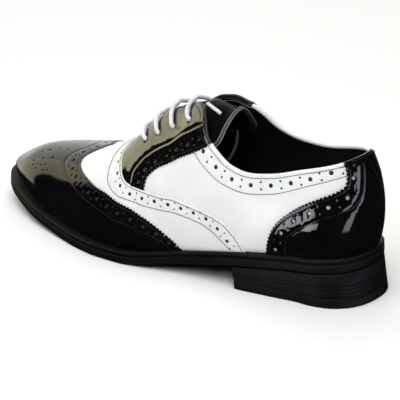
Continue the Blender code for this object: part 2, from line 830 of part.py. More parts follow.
def make_material(name, color, roughness):
    material = bpy.data.materials.new(name)
    material.use_nodes = True
    shader = material.node_tree.nodes["Principled BSDF"]
    shader.inputs["Base Color"].default_value = (*color, 1.0)
    shader.inputs["Roughness"].default_value = roughness
    return material


def centre_on_floor(objects):
    """Move every piece so that the origin is under the middle of the shoe."""
    graph = bpy.context.evaluated_depsgraph_get()
    points = []
    for obj in objects:
        shape = obj.evaluated_get(graph)
        points += [tuple(vertex.co) for vertex in shape.to_mesh().vertices]
        shape.to_mesh_clear()
    middle = (np.min(points, axis=0) + np.max(points, axis=0)) / 2
    for obj in objects:
        obj.location.x = -middle[0]
        obj.location.y = -middle[1]


def main():
    for obj in list(bpy.data.objects):
        bpy.data.objects.remove(obj, do_unlink=True)
    collection = bpy.data.collections.new("brogue")
    bpy.context.scene.collection.children.link(collection)

    patent = (0.012, 0.012, 0.013)
    white = (0.82, 0.83, 0.84)
    rubber = (0.018, 0.018, 0.020)
    make_outsole(make_material("sole_rubber", rubber, 0.45), collection)
    make_heel_block(make_material("heel_rubber", rubber, 0.48), collection)
    make_heel_lift(make_material("lift_rubber", rubber, 0.55), collection)
    make_insole(make_material("sock_lining", (0.015, 0.015, 0.016), 0.75), collection)
    make_upper(make_material("white_leather", white, 0.38), collection)
    make_vamp(make_material("white_vamp_leather", white, 0.36), collection)
    make_wing(make_material("patent_wing", patent, 0.08), collection)
    make_facing("facing_outer", OUTER, make_material("patent_facing_outer", patent, 0.08), collection)
    make_facing("facing_inner", INNER, make_material("patent_facing_inner", patent, 0.08), collection)
    make_counter(make_material("patent_counter", patent, 0.08), collection)
    make_tongue(make_material("patent_tongue", patent, 0.12), collection)
    for k, (station, half_span) in enumerate(LACE_ENDS):
        lace = make_material(f"white_lace_{k + 1}", (0.85, 0.85, 0.86), 0.70)
        make_lace_bar(f"lace_bar_{k + 1}", station, half_span, lace, collection)

    bpy.context.view_layer.update()
    centre_on_floor(list(collection.objects))
    bpy.context.view_layer.update()


main()
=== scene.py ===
"""Looks of the left wing tip brogue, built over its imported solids.

Tables measure x from the back of the heel, in metres; SHIFT moves them into the part's frame.
"""

import math

import bmesh
import bpy
import numpy as np
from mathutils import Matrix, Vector
from mathutils.geometry import delaunay_2d_cdt
from mathutils.kdtree import KDTree


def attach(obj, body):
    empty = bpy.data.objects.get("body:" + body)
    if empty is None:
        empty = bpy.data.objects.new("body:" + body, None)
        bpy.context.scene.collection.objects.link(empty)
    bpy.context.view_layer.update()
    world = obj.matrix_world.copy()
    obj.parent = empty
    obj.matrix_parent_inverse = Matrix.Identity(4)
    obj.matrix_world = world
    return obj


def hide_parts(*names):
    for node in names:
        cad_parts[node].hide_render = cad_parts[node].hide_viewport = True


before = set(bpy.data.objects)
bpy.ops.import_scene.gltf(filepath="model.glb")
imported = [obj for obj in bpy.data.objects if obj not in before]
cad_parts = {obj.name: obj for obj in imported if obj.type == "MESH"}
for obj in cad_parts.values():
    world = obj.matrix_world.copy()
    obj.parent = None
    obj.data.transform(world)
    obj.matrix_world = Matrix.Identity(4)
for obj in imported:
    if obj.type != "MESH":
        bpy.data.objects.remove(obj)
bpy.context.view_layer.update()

OUTER = 1.0
INNER = -1.0
SIDES = (OUTER, INNER)
WORDS = {OUTER: "outer", INNER: "inner"}

# Sizes shared with the solids
SHIFT = np.array([-0.148699, -0.002350, 0.0])
SOLE_BACK = 0.0025
SOLE_TIP = 0.2985
SOLE_HEEL_ROUND = 0.034
SOLE_TOE_ROUND = 0.060
HEEL_BREAST = 0.0805
BREAST_SLANT = 0.0025
BACK_FLARE = 0.0036
SIDE_FLARE = 0.0002
HEEL_MIDDLE = 0.040
LIFT_HEIGHT = 0.0055
LAST_BACK = 0.0038
LAST_TIP = 0.2912
LAST_HEEL_ROUND = 0.033
LAST_TOE_ROUND = 0.056
HEEL_SQUARENESS = 2.35
BACK_BULGE_HEIGHT = 0.052
BACK_CURVE = 6.2
BACK_REACH = 0.055
TOE_RECEDE = 0.016
TUCK_SHARE = 0.05
TUCK_END = 0.0012
GAP = 0.0003
WALL = 0.002
TONGUE_THICKNESS = 0.002
TONGUE_CLEAR = 0.0007
TONGUE_SINK = 0.009
TONGUE_SIDE = 0.40
TONGUE_SINK_FROM = 0.132
TONGUE_SINK_TO = 0.106
COLLAR_END = 0.140
THROAT_START = 0.1100
THROAT_END = 0.1790
LENGTH_TUCK = 0.018
LENGTH_SIDE = 0.050
NORMAL_RUN = 0.0004
NORMAL_GIRTH = 0.006
WELD = 0.00002
RIDGE_GIRTH = 0.9999
BISECTIONS = 40

# How lines are drawn on the last
RISE_TUCK = 0.017
RISE_SIDE = 0.100
FLAT_REACH = 0.0003
DAMPING = 1e-6
TINY = 1e-9

# Heights of the dressed surfaces over the last
SKIN_LOW = -0.0006
SKIN_TOP = 0.0004
LINING_LOW = -0.0020
LINING_TOP = -0.0007
LINING_DROP = 0.0012
ROLL_RADIUS = 0.0015
VAMP_TOP = 0.0015
WING_TOP = 0.0021
FACING_TOP = 0.0013
FACING_SWELL = 0.0014
SWELL_REACH = 0.0100
SWELL_IN = 0.0012
SWELL_FREE = 0.0015
SWELL_RISE = 0.0080
COUNTER_TOP = 0.0017
UNDER = 0.0002
FOOT = -0.995
FOOT_LENGTH = FOOT * LENGTH_TUCK

# Fineness of the dressed surfaces
FINE_STEP = 0.0005
EDGE_STEP = 0.0012
FINE_EDGE_STEP = 0.0009
CREASE_STEP = 0.001
BORDER_STEP = 0.002
SKIN_BORDER_STEP = 0.003
SKIN_STEP = 0.0030
LINING_STEP = 0.0032
PANEL_STEP = 0.0022
FACING_STEP = 0.0018
COUNTER_STEP = 0.0020
TONGUE_STEP = 0.0025
ROUNDING = 0.00035
COUNTER_ROUNDING = 0.0002
TONGUE_ROUNDING = 0.0006
HOLE_SIDES = 14
ROUND_STEP = 0.0007
ROUND_SAMPLE = 0.00018
TROUGH_STEP = 0.0011
TROUGH_SAMPLE = 0.0003
ACROSS = (0.5, -0.5, 1.0, -1.0)
HOLE_RIMS = (0.6, 1.2)
HOLE_CUT = 0.97
LOOSE_CLEAR = 0.35
GRID_CLEAR = 0.55
GRID_ROWS = 0.8
SAME_PLACE = 1e-6
SAME_FLAT = 1e-7
SEAM_MATCH = 0.0001
STACK_MATCH = 0.00001
ROLL_SIDES = 12
BEAD_SIDES = 10
CORD_SIDES = 6

# Punched rows, as (pitch, start, large radius, small radius, spread of the small pair, bare end)
COLLAR_PUNCH = (0.0137, 0.0050, 0.00140, 0.00072, 0.0022, 0.0)
VAMP_PUNCH = (0.00965, 0.0042, 0.00118, 0.00056, 0.0020, 0.001)
WING_PUNCH = (0.0098, 0.0049, 0.00120, 0.00055, 0.0022, 0.001)
FACING_PUNCH = (0.0092, 0.0046, 0.00105, 0.00050, 0.0019, 0.002)
COUNTER_PUNCH = (0.0126, 0.0035, 0.00130, 0.00062, 0.0022, 0.001)
HOLE_BACK = 0.0004
WHITE_BACK_DROP = 0.00045
PATENT_BACK_DROP = 0.0008
EYELET_RADIUS = 0.0016
EYELET_SIDES = 20
# Troughs along lines, as (half width, depth), and ridges, whose depth is negative
BAND_TROUGH = (0.0006, 0.00022)
VAMP_TROUGH = (0.0006, 0.00020)
WING_TROUGH = (0.0008, 0.00030)
WING_EDGE_TROUGH = (0.0006, 0.00018)
FACING_RAISE = (0.0010, -0.00040)
FACING_TROUGH = (0.0012, 0.00050)
EDGE_TROUGH = (0.0005, 0.00018)
REAR_TROUGH = (0.0006, 0.00020)
LACE_DENT = (0.0028, 0.00050)
COUNTER_TROUGH = (0.0008, 0.00028)
# Teeth of the pinked edges, as (pitch, depth to the left of the line), and the height along one tooth
WING_TEETH = (0.0024, -0.0010)
FACING_TEETH = (0.0024, 0.0010)
COUNTER_TEETH = (0.0026, -0.0011)
TOOTH = np.array([0.0, 0.55, 1.0, 0.55])
# A stitch along its length, as (share of the length, rise, share of the radius)
STITCH_SHAPE = (
    (-0.5, -0.00025, 0.55),
    (-0.3, 0.00010, 0.95),
    (0.0, 0.00018, 1.0),
    (0.3, 0.00010, 0.95),
    (0.5, -0.00025, 0.55),
)
STITCH_PITCH = 0.0020
STITCH_SINK = 0.0001
GREY_STITCH = 0.0019
BLACK_STITCH = 0.0016
GREY_RADIUS = 0.00026
BLACK_RADIUS = 0.00020
THREAD_LEAN = (0.31, 0.23, 0.92)
# Insets of stitched rows and hidden edges from the edge beside them
VAMP_ROW = 0.0014
PATENT_ROW = 0.0020
FACING_ROW = 0.0018
REAR_ROW = 0.0028
FACING_TROUGH_ROW = 0.0022
WING_OVER_VAMP = 0.0016
VAMP_OVER_FACING = 0.0012
TOP_INSET = 0.0004

LAST_COLUMNS = ("x", "outer", "inner", "centre", "bulge", "ridge", "crown", "side")
LAST_ROWS = (
    (0.0038, 0.0302, 0.0302, 0.0005, 0.0500, 0.1120, 2.00, 2.05),
    (0.035, 0.0304, 0.0299, 0.0010, 0.0480, 0.1080, 2.00, 2.75),
    (0.058, 0.0335, 0.0315, 0.0015, 0.0450, 0.1070, 2.00, 2.30),
    (0.080, 0.0363, 0.0318, 0.0022, 0.0410, 0.1090, 2.00, 2.05),
    (0.104, 0.0389, 0.0294, 0.0012, 0.0360, 0.1135, 2.00, 1.95),
    (0.124, 0.0423, 0.0287, -0.0008, 0.0320, 0.1082, 1.96, 1.90),
    (0.136, 0.0457, 0.0308, -0.0015, 0.0300, 0.0998, 1.78, 1.86),
    (0.150, 0.0480, 0.0346, -0.0015, 0.0270, 0.0945, 1.57, 1.82),
    (0.165, 0.0498, 0.0384, -0.0013, 0.0250, 0.0833, 1.57, 1.84),
    (0.180, 0.0488, 0.0407, -0.0012, 0.0240, 0.0674, 1.88, 1.88),
    (0.196, 0.0456, 0.0422, -0.0010, 0.0232, 0.0581, 2.03, 1.95),
    (0.212, 0.0421, 0.0416, -0.0015, 0.0228, 0.0521, 2.10, 2.00),
    (0.229, 0.0374, 0.0384, -0.0020, 0.0228, 0.0480, 2.15, 2.05),
    (0.250, 0.0316, 0.0321, -0.0030, 0.0235, 0.0438, 2.20, 2.10),
    (0.266, 0.0266, 0.0266, -0.0040, 0.0243, 0.0399, 2.20, 2.10),
    (0.280, 0.0225, 0.0225, -0.0054, 0.0248, 0.0332, 2.20, 2.10),
    (0.2935, 0.0195, 0.0195, -0.0068, 0.0250, 0.0274, 2.20, 2.10),
)
SOLE_COLUMNS = ("x", "outer", "inner", "centre", "bottom", "thickness")
SOLE_ROWS = (
    (0.0025, 0.0335, 0.0335, 0.0005, 0.0228, 0.0092),
    (0.0365, 0.0334, 0.0327, 0.0010, 0.0196, 0.0092),
    (0.058, 0.0360, 0.0333, 0.0015, 0.0172, 0.0092),
    (0.080, 0.0383, 0.0332, 0.0022, 0.0142, 0.0092),
    (0.104, 0.0398, 0.0320, 0.0025, 0.0096, 0.0090),
    (0.120, 0.0425, 0.0325, 0.0018, 0.0064, 0.0089),
    (0.136, 0.0475, 0.0350, 0.0005, 0.0033, 0.0087),
    (0.150, 0.0512, 0.0395, 0.0000, 0.0009, 0.0085),
    (0.162, 0.0533, 0.0428, -0.0003, 0.0000, 0.0083),
    (0.180, 0.0536, 0.0460, -0.0006, 0.0000, 0.0083),
    (0.198, 0.0508, 0.0474, -0.0010, 0.0000, 0.0083),
    (0.212, 0.0473, 0.0466, -0.0015, 0.0005, 0.0083),
    (0.229, 0.0424, 0.0431, -0.0020, 0.0018, 0.0082),
    (0.250, 0.0364, 0.0368, -0.0030, 0.0043, 0.0080),
    (0.268, 0.0304, 0.0312, -0.0042, 0.0071, 0.0078),
    (0.285, 0.0262, 0.0268, -0.0057, 0.0100, 0.0077),
    (0.2985, 0.0230, 0.0230, -0.0075, 0.0123, 0.0076),
)
# Side of the sole from its underside up, as (share of the thickness, inset from the outline)
SOLE_SIDE_ROWS = (
    (0.00, 0.0014),
    (0.03, 0.0006),
    (0.10, 0.0001),
    (0.16, 0.0000),
    (0.54, 0.0000),
    (0.57, 0.0003),
    (0.61, 0.0011),
    (0.66, 0.0013),
    (0.71, 0.0011),
    (0.75, 0.0005),
    (0.79, 0.0002),
    (0.91, 0.0002),
    (0.96, 0.0005),
    (1.00, 0.0013),
)
COLLAR_COLUMNS = ("x", "height")
COLLAR_ROWS = (
    (0.002, 0.0930),
    (0.017, 0.0889),
    (0.035, 0.0839),
    (0.058, 0.0769),
    (0.074, 0.0747),
    (0.087, 0.0770),
    (0.098, 0.0828),
    (0.108, 0.0899),
    (0.114, 0.0982),
    (0.119, 0.1023),
    (0.124, 0.1034),
    (0.130, 0.1024),
    (0.140, 0.1018),
)
INNER_COLUMNS = ("x", "rise")
INNER_ROWS = (
    (0.020, 0.0000),
    (0.045, 0.0025),
    (0.060, 0.0052),
    (0.070, 0.0076),
    (0.090, 0.0111),
    (0.098, 0.0140),
    (0.103, 0.0140),
    (0.112, 0.0078),
    (0.120, 0.0022),
    (0.130, 0.0030),
    (0.140, 0.0015),
)
THROAT_COLUMNS = ("x", "half_gap")
THROAT_ROWS = (
    (0.118, 0.0110),
    (0.124, 0.0098),
    (0.130, 0.0086),
    (0.145, 0.0070),
    (0.160, 0.0058),
    (0.170, 0.0046),
    (0.179, 0.0028),
)

# Lines on the last, as (station, girth: -1 at the sole, 0 bulge, 1 ridge)
WING_EDGE = (
    (0.2065, 1.00), (0.2100, 0.915), (0.2141, 0.804), (0.2162, 0.706), (0.2144, 0.601),
    (0.2060, 0.474), (0.1974, 0.394), (0.1878, 0.322), (0.1770, 0.268), (0.1669, 0.217),
    (0.1587, 0.175), (0.1510, 0.128), (0.1433, 0.066), (0.1372, 0.002), (0.1317, -0.264),
    (0.1262, -0.548), (0.1190, FOOT),
)
WING_STITCH = (
    (0.2235, 1.00), (0.2255, 0.90), (0.2300, 0.76), (0.2305, 0.619), (0.2239, 0.465),
    (0.2144, 0.350), (0.2045, 0.249), (0.1949, 0.185), (0.1831, 0.128), (0.1722, 0.082),
    (0.1610, 0.036), (0.1504, -0.122), (0.1411, -0.337), (0.1336, -0.579), (0.1265, FOOT),
)
VAMP_EDGE = (
    (0.1815, 1.00), (0.1803, 0.80), (0.1757, 0.590), (0.1714, 0.490), (0.1676, 0.415),
    (0.1625, 0.350), (0.1566, 0.308), (0.1480, 0.271), (0.1329, 0.187), (0.1180, 0.126),
    (0.1039, 0.083), (0.0921, 0.043), (0.0862, 0.010), (0.0817, -0.190), (0.0771, -0.532),
    (0.0732, FOOT),
)
VAMP_HOLES = (
    (0.1850, 1.00), (0.1842, 0.80), (0.1792, 0.590), (0.1738, 0.472), (0.1703, 0.375),
    (0.1642, 0.307), (0.1567, 0.254), (0.1483, 0.221), (0.1389, 0.177), (0.1297, 0.130),
    (0.1203, 0.098), (0.1098, 0.070), (0.0998, 0.038), (0.0950, 0.008), (0.0908, -0.140),
    (0.0847, -0.592), (0.0798, FOOT),
)
VAMP_STITCH = (
    (0.1890, 1.00), (0.1885, 0.80), (0.1850, 0.600), (0.1815, 0.470), (0.1787, 0.381),
    (0.1740, 0.312), (0.1686, 0.268), (0.1610, 0.231), (0.1509, 0.191), (0.1400, 0.138),
    (0.1301, 0.092), (0.1198, 0.060), (0.1089, 0.029), (0.1015, 0.003), (0.0952, -0.223),
    (0.0892, -0.554), (0.0822, FOOT),
)
FACING_EDGE = (
    (0.1480, 0.262), (0.1480, 0.300), (0.1475, 0.352), (0.1434, 0.381), (0.1364, 0.390),
    (0.1276, 0.382), (0.1194, 0.394), (0.1122, 0.412), (0.1062, 0.436),
)
FACING_RIDGE = (
    (0.1574, 0.312), (0.1574, 0.345), (0.1568, 0.386), (0.1546, 0.426), (0.1514, 0.462),
    (0.1469, 0.487), (0.1405, 0.501), (0.1307, 0.506), (0.1220, 0.523), (0.1152, 0.547),
    (0.1105, 0.568),
)
COUNTER_EDGE = (
    (0.0587, FOOT), (0.0575, -0.60), (0.0547, -0.16), (0.0497, 0.040), (0.0432, 0.096),
    (0.0340, 0.158), (0.0236, 0.214), (0.0141, 0.255), (0.0098, 0.287), (0.0088, 0.330),
    (0.0086, 0.380), (0.0092, 0.440),
)
COUNTER_HOLES = (
    (0.0530, FOOT), (0.0527, -0.853), (0.0495, -0.30), (0.0409, 0.042), (0.0285, 0.118),
    (0.0175, 0.163), (0.0091, 0.216), (0.0065, 0.330), (0.0070, 0.420),
)
COUNTER_STITCH = (
    (0.0462, FOOT), (0.0448, -0.427), (0.0409, -0.167), (0.0332, 0.018), (0.0229, 0.078),
    (0.0130, 0.116), (0.0071, 0.151), (0.0051, 0.209), (0.0043, 0.298), (0.0040, 0.394),
)
TONGUE_EDGE = (
    (0.1900, 1.00), (0.1890, 0.86), (0.1820, 0.72), (0.1650, 0.61), (0.1450, 0.54),
    (0.1250, 0.47), (0.1100, 0.42), (0.1050, 0.46), (0.1035, 0.60), (0.1030, 0.80),
    (0.1030, 1.00),
)
# Toe medallion, as (station, girth, radius)
MEDALLION = (
    (0.2612, 0.690, 0.0006), (0.2606, 0.463, 0.0006), (0.2553, 0.768, 0.0009), (0.2580, 0.379, 0.0006),
    (0.2535, 0.345, 0.0005), (0.2530, 0.420, 0.0005), (0.2495, 0.432, 0.0006), (0.2526, 0.560, 0.0007),
    (0.2458, 0.454, 0.0005), (0.2444, 0.360, 0.0006), (0.2405, 0.385, 0.0005), (0.2437, 0.610, 0.0009),
    (0.2482, 0.849, 0.0006), (0.2385, 0.820, 0.0006),
)
# Collar band below the top line, as (station, upper stitch, holes, lower stitch)
BAND_COLUMNS = ("x", "upper", "holes", "lower")
BAND_ROWS = (
    (0.004, 0.0016, 0.0030, 0.0072),
    (0.0165, 0.0017, 0.0034, 0.0075),
    (0.029, 0.0018, 0.0050, 0.0085),
    (0.046, 0.0019, 0.0059, 0.0100),
    (0.060, 0.0020, 0.0062, 0.0112),
    (0.075, 0.0020, 0.0064, 0.0116),
    (0.110, 0.0020, 0.0068, 0.0122),
)
BAND_STITCHES = ("upper", "lower")
BAND_BACK = 0.0085
BAND_FRONT = 0.1200
BAND_HOLES_FRONT = 0.1125
# Stations where the lining's drop starts, is full, starts to end and ends, and its share beyond them
LINING_FADE = (0.006, 0.056, 0.106, 0.112)
LINING_ENDS = 0.12
# Stations of the rolled edge at the quarters, at the facings and at the counter, and its sizes
ROLL_REACH = (0.0088, 0.1046)
FACING_REACH = (0.1040, 0.1480)
BACK_REACH_END = 0.0092
ROLL_INSET = 0.4
ROLL_STEP = 0.0016
ROLL_SINK = 0.0009
BEAD_RADIUS = 0.0011
FACING_BEAD_LIFT = 0.0001
BACK_BEAD_SINK = 0.0002
FACING_CORD = (0.0013, 0.00035)
LINING_CORD = (0.0022, 0.0005)
SEAM_SINK = 0.0003
REAR_FRONT = 0.1290
TONGUE_RIM_FRONT = 0.1120
TONGUE_BINDING = 0.0015
# Cords beside the tongue's rim, whose grey is a painted highlight along the binding, as (inset, lift)
TONGUE_CORDS = ((-0.0002, 0.0004), (0.0020, 0.0))
TONGUE_CORD_RADIUS = 0.00045

# Lace: ends of its four bars as (station, distance out from the middle)
LACE_ENDS = (
    (0.1587, 0.0261),
    (0.1495, 0.0250),
    (0.1388, 0.0232),
    (0.1257, 0.0229),
)
LACE_RADIUS = 0.0015
LACE_SIDES = 16
LACE_FLATTEN = 0.9
LACE_BIT_SHARE = 0.85
LACE_BIT_POINTS = 25
# Bit of lace that shows on the tongue, as (station, girth, lift)
LACE_BIT = (
    (0.1255, 0.850, -0.0034), (0.1225, 0.820, -0.0038), (0.1184, 0.781, -0.0049),
    (0.1145, 0.750, -0.0062), (0.1128, 0.738, -0.0080),
)
# Seam ridge of the lining on the inner side, coloured light grey as a painted highlight, as (station, girth)
LINING_SEAM = (
    (0.1212, 0.430), (0.1217, 0.388), (0.1227, 0.346), (0.1244, 0.304), (0.1274, 0.262),
    (0.1309, 0.232), (0.1352, 0.214),
)
LACE_REST = 0.0020
LACE_DIP = 0.0018
LACE_LEAN = 0.012
LACE_DIVE = 0.0045
LACE_DIVE_FROM = 0.90
# Heel: grooves as (share of the height, depth), and the edge of its top piece as (height, inset)
RIB_ROWS = ((0.08, 0.0005), (0.22, 0.0004), (0.37, 0.0005), (0.52, 0.0005))
RIB_HALF = 0.022
HEEL_FOOT_ROWS = [(0.0, 0.0003), (0.012, 0.0)]
HEEL_HEAD_ROWS = [(0.97, 0.0), (1.0, 0.0004)]
LIFT_ROWS = (
    (0.0, 0.0006), (0.0004, 0.0001), (0.0008, 0.0), (LIFT_HEIGHT - 0.0003, 0.0), (LIFT_HEIGHT, 0.0003),
)


def level_slopes(xs, ys):
    rise = np.diff(ys) / np.diff(xs)
    both = rise[:-1] * rise[1:]
    total = rise[:-1] + rise[1:]
    inner = np.where(both > 0, 2 * both / np.where(total == 0, 1, total), 0)
    return np.concatenate([rise[:1], inner, rise[-1:]])


def round_slopes(xs, ys):
    return np.gradient(ys, xs)


def smooth_curve(xs, ys, slopes_of=level_slopes):
    xs = np.asarray(xs, float)
    ys = np.asarray(ys, float)
    slopes = slopes_of(xs, ys)

    def value(x):
        x = np.asarray(x, float)
        i = np.clip(np.searchsorted(xs, x) - 1, 0, len(xs) - 2)
        step = xs[i + 1] - xs[i]
        t = np.clip((x - xs[i]) / step, 0, 1)
        near = (1 + 2 * t) * (1 - t) ** 2 * ys[i] + t * t * (3 - 2 * t) * ys[i + 1]
        return near + step * t * (1 - t) * ((1 - t) * slopes[i] - t * slopes[i + 1])

    return value


def columns(names, rows):
    values = np.array(rows)
    return {name: smooth_curve(values[:, 0], values[:, k]) for k, name in enumerate(names) if k}


last = columns(LAST_COLUMNS, LAST_ROWS)
sole = columns(SOLE_COLUMNS, SOLE_ROWS)
band = columns(BAND_COLUMNS, BAND_ROWS)
collar_height = columns(COLLAR_COLUMNS, COLLAR_ROWS)["height"]
inner_rise = columns(INNER_COLUMNS, INNER_ROWS)["rise"]
throat_gap = columns(THROAT_COLUMNS, THROAT_ROWS)["half_gap"]


def end_closing(x, back, heel_round, tip, toe_round):
    heel = np.clip((back + heel_round - x) / heel_round, 0, 1)
    toe = np.clip((x - tip + toe_round) / toe_round, 0, 1)
    round_heel = (1 - heel ** HEEL_SQUARENESS) ** (1 / HEEL_SQUARENESS)
    return round_heel * np.sqrt(np.clip(1 - toe ** 3, 0, 1))


def sole_top(x):
    return sole["bottom"](x) + sole["thickness"](x)


def last_point(s, g, side):
    """Point on the last at station s and girth g, on the outer or inner side."""
    s, g = np.broadcast_arrays(np.asarray(s, float), np.asarray(g, float))
    half = np.where(np.asarray(side) > 0, last["outer"](s), last["inner"](s))
    half = half * end_closing(s, LAST_BACK, LAST_HEEL_ROUND, LAST_TIP, LAST_TOE_ROUND)
    angle = np.clip(g, 0, 1) * math.pi / 2
    down = np.clip(-g, 0, 1)
    toe = np.clip((s - LAST_TIP + LAST_TOE_ROUND) / LAST_TOE_ROUND, 0, 1) ** 2
    heel = np.clip(1 - (s - LAST_BACK) / BACK_REACH, 0, 1) ** 2
    x = s - toe * (TOE_RECEDE * (1 - np.cos(angle)) + TUCK_END * down ** 2)
    bulge = last["bulge"](s)
    feather = sole_top(x) + GAP
    above = bulge + (last["ridge"](x) - bulge) * np.sin(angle) ** (2 / last["crown"](s))
    z = np.where(g >= 0, above, bulge - (bulge - feather) * down)
    lean = np.clip(np.cos(angle), 0, 1) ** (2 / last["side"](s))
    y = last["centre"](s) + side * half * np.where(g >= 0, lean, 1 - TUCK_SHARE * down ** 2)
    x = x + BACK_CURVE * (z - BACK_BULGE_HEIGHT) ** 2 * heel
    return np.stack([x, y, z], axis=-1)


def walked(path):
    """Length walked along a path up to each of its points."""
    return np.concatenate([[0], np.cumsum(np.linalg.norm(np.diff(path, axis=0), axis=1))])


def unit(vectors):
    return vectors / np.maximum(np.linalg.norm(vectors, axis=-1, keepdims=True), TINY)


def ease(t):
    """Soft rise from 0 to 1."""
    return t * t * (3 - 2 * t)


def hump(t):
    """Soft fall from 1 at 0 to nothing at 1."""
    return 0.5 * (1 + np.cos(math.pi * np.clip(t, 0, 1)))


def run_of_stations(count=3000):
    turn = np.linspace(0, math.pi, count)
    s = LAST_BACK + (LAST_TIP - LAST_BACK) * (1 - np.cos(turn)) / 2
    return s, walked(last_point(s, np.zeros(count), OUTER))


STATIONS, RUNS = run_of_stations()
FULL_RUN = RUNS[-1]


def run_at(s):
    return np.interp(s, STATIONS, RUNS)


def station_at(run):
    return np.interp(run, RUNS, STATIONS)


def girth_to_length(g):
    g = np.asarray(g, float)
    return np.where(g < 0, g * LENGTH_TUCK, g * LENGTH_SIDE)


def length_to_girth(v):
    v = np.asarray(v, float)
    g = np.where(v < 0, v / LENGTH_TUCK, v / LENGTH_SIDE)
    return np.where(g > RIDGE_GIRTH, 1.0, g)


def last_normal(run, g, side):
    """Outward normal of the last, level across its ridge and its two ends."""
    run_a = np.clip(run - NORMAL_RUN, 0, FULL_RUN)
    run_b = np.clip(run + NORMAL_RUN, 0, FULL_RUN)
    g_a = np.clip(g - NORMAL_GIRTH, -1, 1)
    g_b = np.clip(g + NORMAL_GIRTH, -1, 1)
    along = last_point(station_at(run_b), g, side) - last_point(station_at(run_a), g, side)
    around = last_point(station_at(run), g_b, side) - last_point(station_at(run), g_a, side)
    normal = np.cross(along, around) * -side
    level = np.zeros_like(along[..., 0])
    over_ridge = np.stack([-along[..., 2], level, along[..., 0]], axis=-1)
    off_toe = np.stack([around[..., 2], level, -around[..., 0]], axis=-1)
    normal = np.where((g > RIDGE_GIRTH)[..., None], over_ridge, normal)
    normal = np.where((run >= FULL_RUN - WELD)[..., None], off_toe, normal)
    normal = np.where((run <= WELD)[..., None], -off_toe, normal)
    return unit(normal)


def on_last(flat, side, lift=None):
    """Points of the last under flat (run, length) positions, lifted along the normal."""
    flat = np.atleast_2d(flat)
    girth = length_to_girth(flat[:, 1])
    base = last_point(station_at(flat[:, 0]), girth, side)
    if lift is None:
        return base
    return base + last_normal(flat[:, 0], girth, side) * np.broadcast_to(lift, len(flat))[:, None]


def kept_flat(flat):
    """Flat positions brought back within the last's own run and length."""
    return np.clip(flat, (0, -LENGTH_TUCK), (FULL_RUN, LENGTH_SIDE))


def flat_steps(flat, side):
    """How the last's point moves for a unit of run and of length."""
    steps = []
    for reach in np.eye(2) * FLAT_REACH:
        low = kept_flat(flat - reach)
        high = kept_flat(flat + reach)
        span = np.maximum((high - low).sum(axis=1, keepdims=True), TINY)
        steps.append((on_last(high, side) - on_last(low, side)) / span)
    return np.stack(steps, axis=-1)


def offset_line(line, side, distance):
    """A line moved sideways along the last, to the left of its course in the flat plane."""
    steps = flat_steps(line, side)
    ahead = np.einsum("nki,ni->nk", steps, np.gradient(line, axis=0))
    normal = last_normal(line[:, 0], length_to_girth(line[:, 1]), side)
    move = unit(np.cross(normal, ahead) * -side) * np.broadcast_to(distance, len(line))[:, None]
    square = np.einsum("nki,nkj->nij", steps, steps) + np.eye(2) * DAMPING
    along = np.einsum("nki,nk->ni", steps, move)[..., None]
    return kept_flat(line + np.linalg.solve(square, along)[..., 0])


def walk_of(line, side):
    return walked(on_last(line, side))


def at_walk(line, walk, t):
    return np.stack([np.interp(t, walk, line[:, 0]), np.interp(t, walk, line[:, 1])], axis=1)


def even(line, side, step):
    """The line again, with points a step apart on the last."""
    walk = walk_of(line, side)
    count = max(2, round(walk[-1] / step) + 1)
    return at_walk(line, walk, np.linspace(0, walk[-1], count))


def pinked(line, side, pitch, depth):
    """The line with even saw teeth that stand depth to its left, or to its right if negative."""
    walk = walk_of(line, side)
    teeth = round(walk[-1] / pitch)
    t = np.linspace(0, walk[-1], teeth * len(TOOTH) + 1)
    plain = at_walk(line, walk, t)
    wave = TOOTH[np.arange(len(t)) % len(TOOTH)]
    moved = offset_line(plain, side, (wave - 0.5) * depth)
    moved[0] = plain[0]
    moved[-1] = plain[-1]
    return moved


def edge_curve(rows, samples=700):
    """Flat line through (station, girth) rows, curved as on the last, whose sides outgrow its tuck."""
    stations, girths = np.array(rows).T
    rises = girths * np.where(girths < 0, RISE_TUCK, RISE_SIDE)
    marks = np.stack([run_at(stations), rises], axis=1)
    walk = walked(marks)
    t = np.linspace(0, walk[-1], samples)
    runs = smooth_curve(walk, marks[:, 0], round_slopes)(t)
    rises = smooth_curve(walk, marks[:, 1], round_slopes)(t)
    girths = np.clip(rises / np.where(rises < 0, RISE_TUCK, RISE_SIDE), -1, 1)
    return np.stack([runs, girth_to_length(girths)], axis=1)


def straight(a, b, step=0.0015):
    """Flat line between two positions."""
    a = np.asarray(a, float)
    b = np.asarray(b, float)
    count = max(2, int(np.linalg.norm(b - a) / step) + 1)
    return a + (b - a) * np.linspace(0, 1, count)[:, None]


def borders(corners, step=BORDER_STEP):
    return [straight(a, b, step) for a, b in zip(corners, corners[1:])]


def top_line(s, side):
    """Girth of the collar and throat edge at each station."""
    low = np.zeros_like(s)
    high = np.ones_like(s)
    for _ in range(BISECTIONS):
        middle = (low + high) / 2
        point = last_point(s, middle, side)
        x = point[..., 0]
        rise = inner_rise(x) * (side < 0)
        in_throat = (x > THROAT_START) & (x < THROAT_END)
        open_half = np.where(in_throat, throat_gap(x), -1.0)
        across = np.abs(point[..., 1] - last["centre"](x))
        collar = np.where(x < COLLAR_END, collar_height(x) + rise, 1.0)
        below = (point[..., 2] < collar) & (across > open_half)
        low = np.where(below, middle, low)
        high = np.where(below, high, middle)
    return low


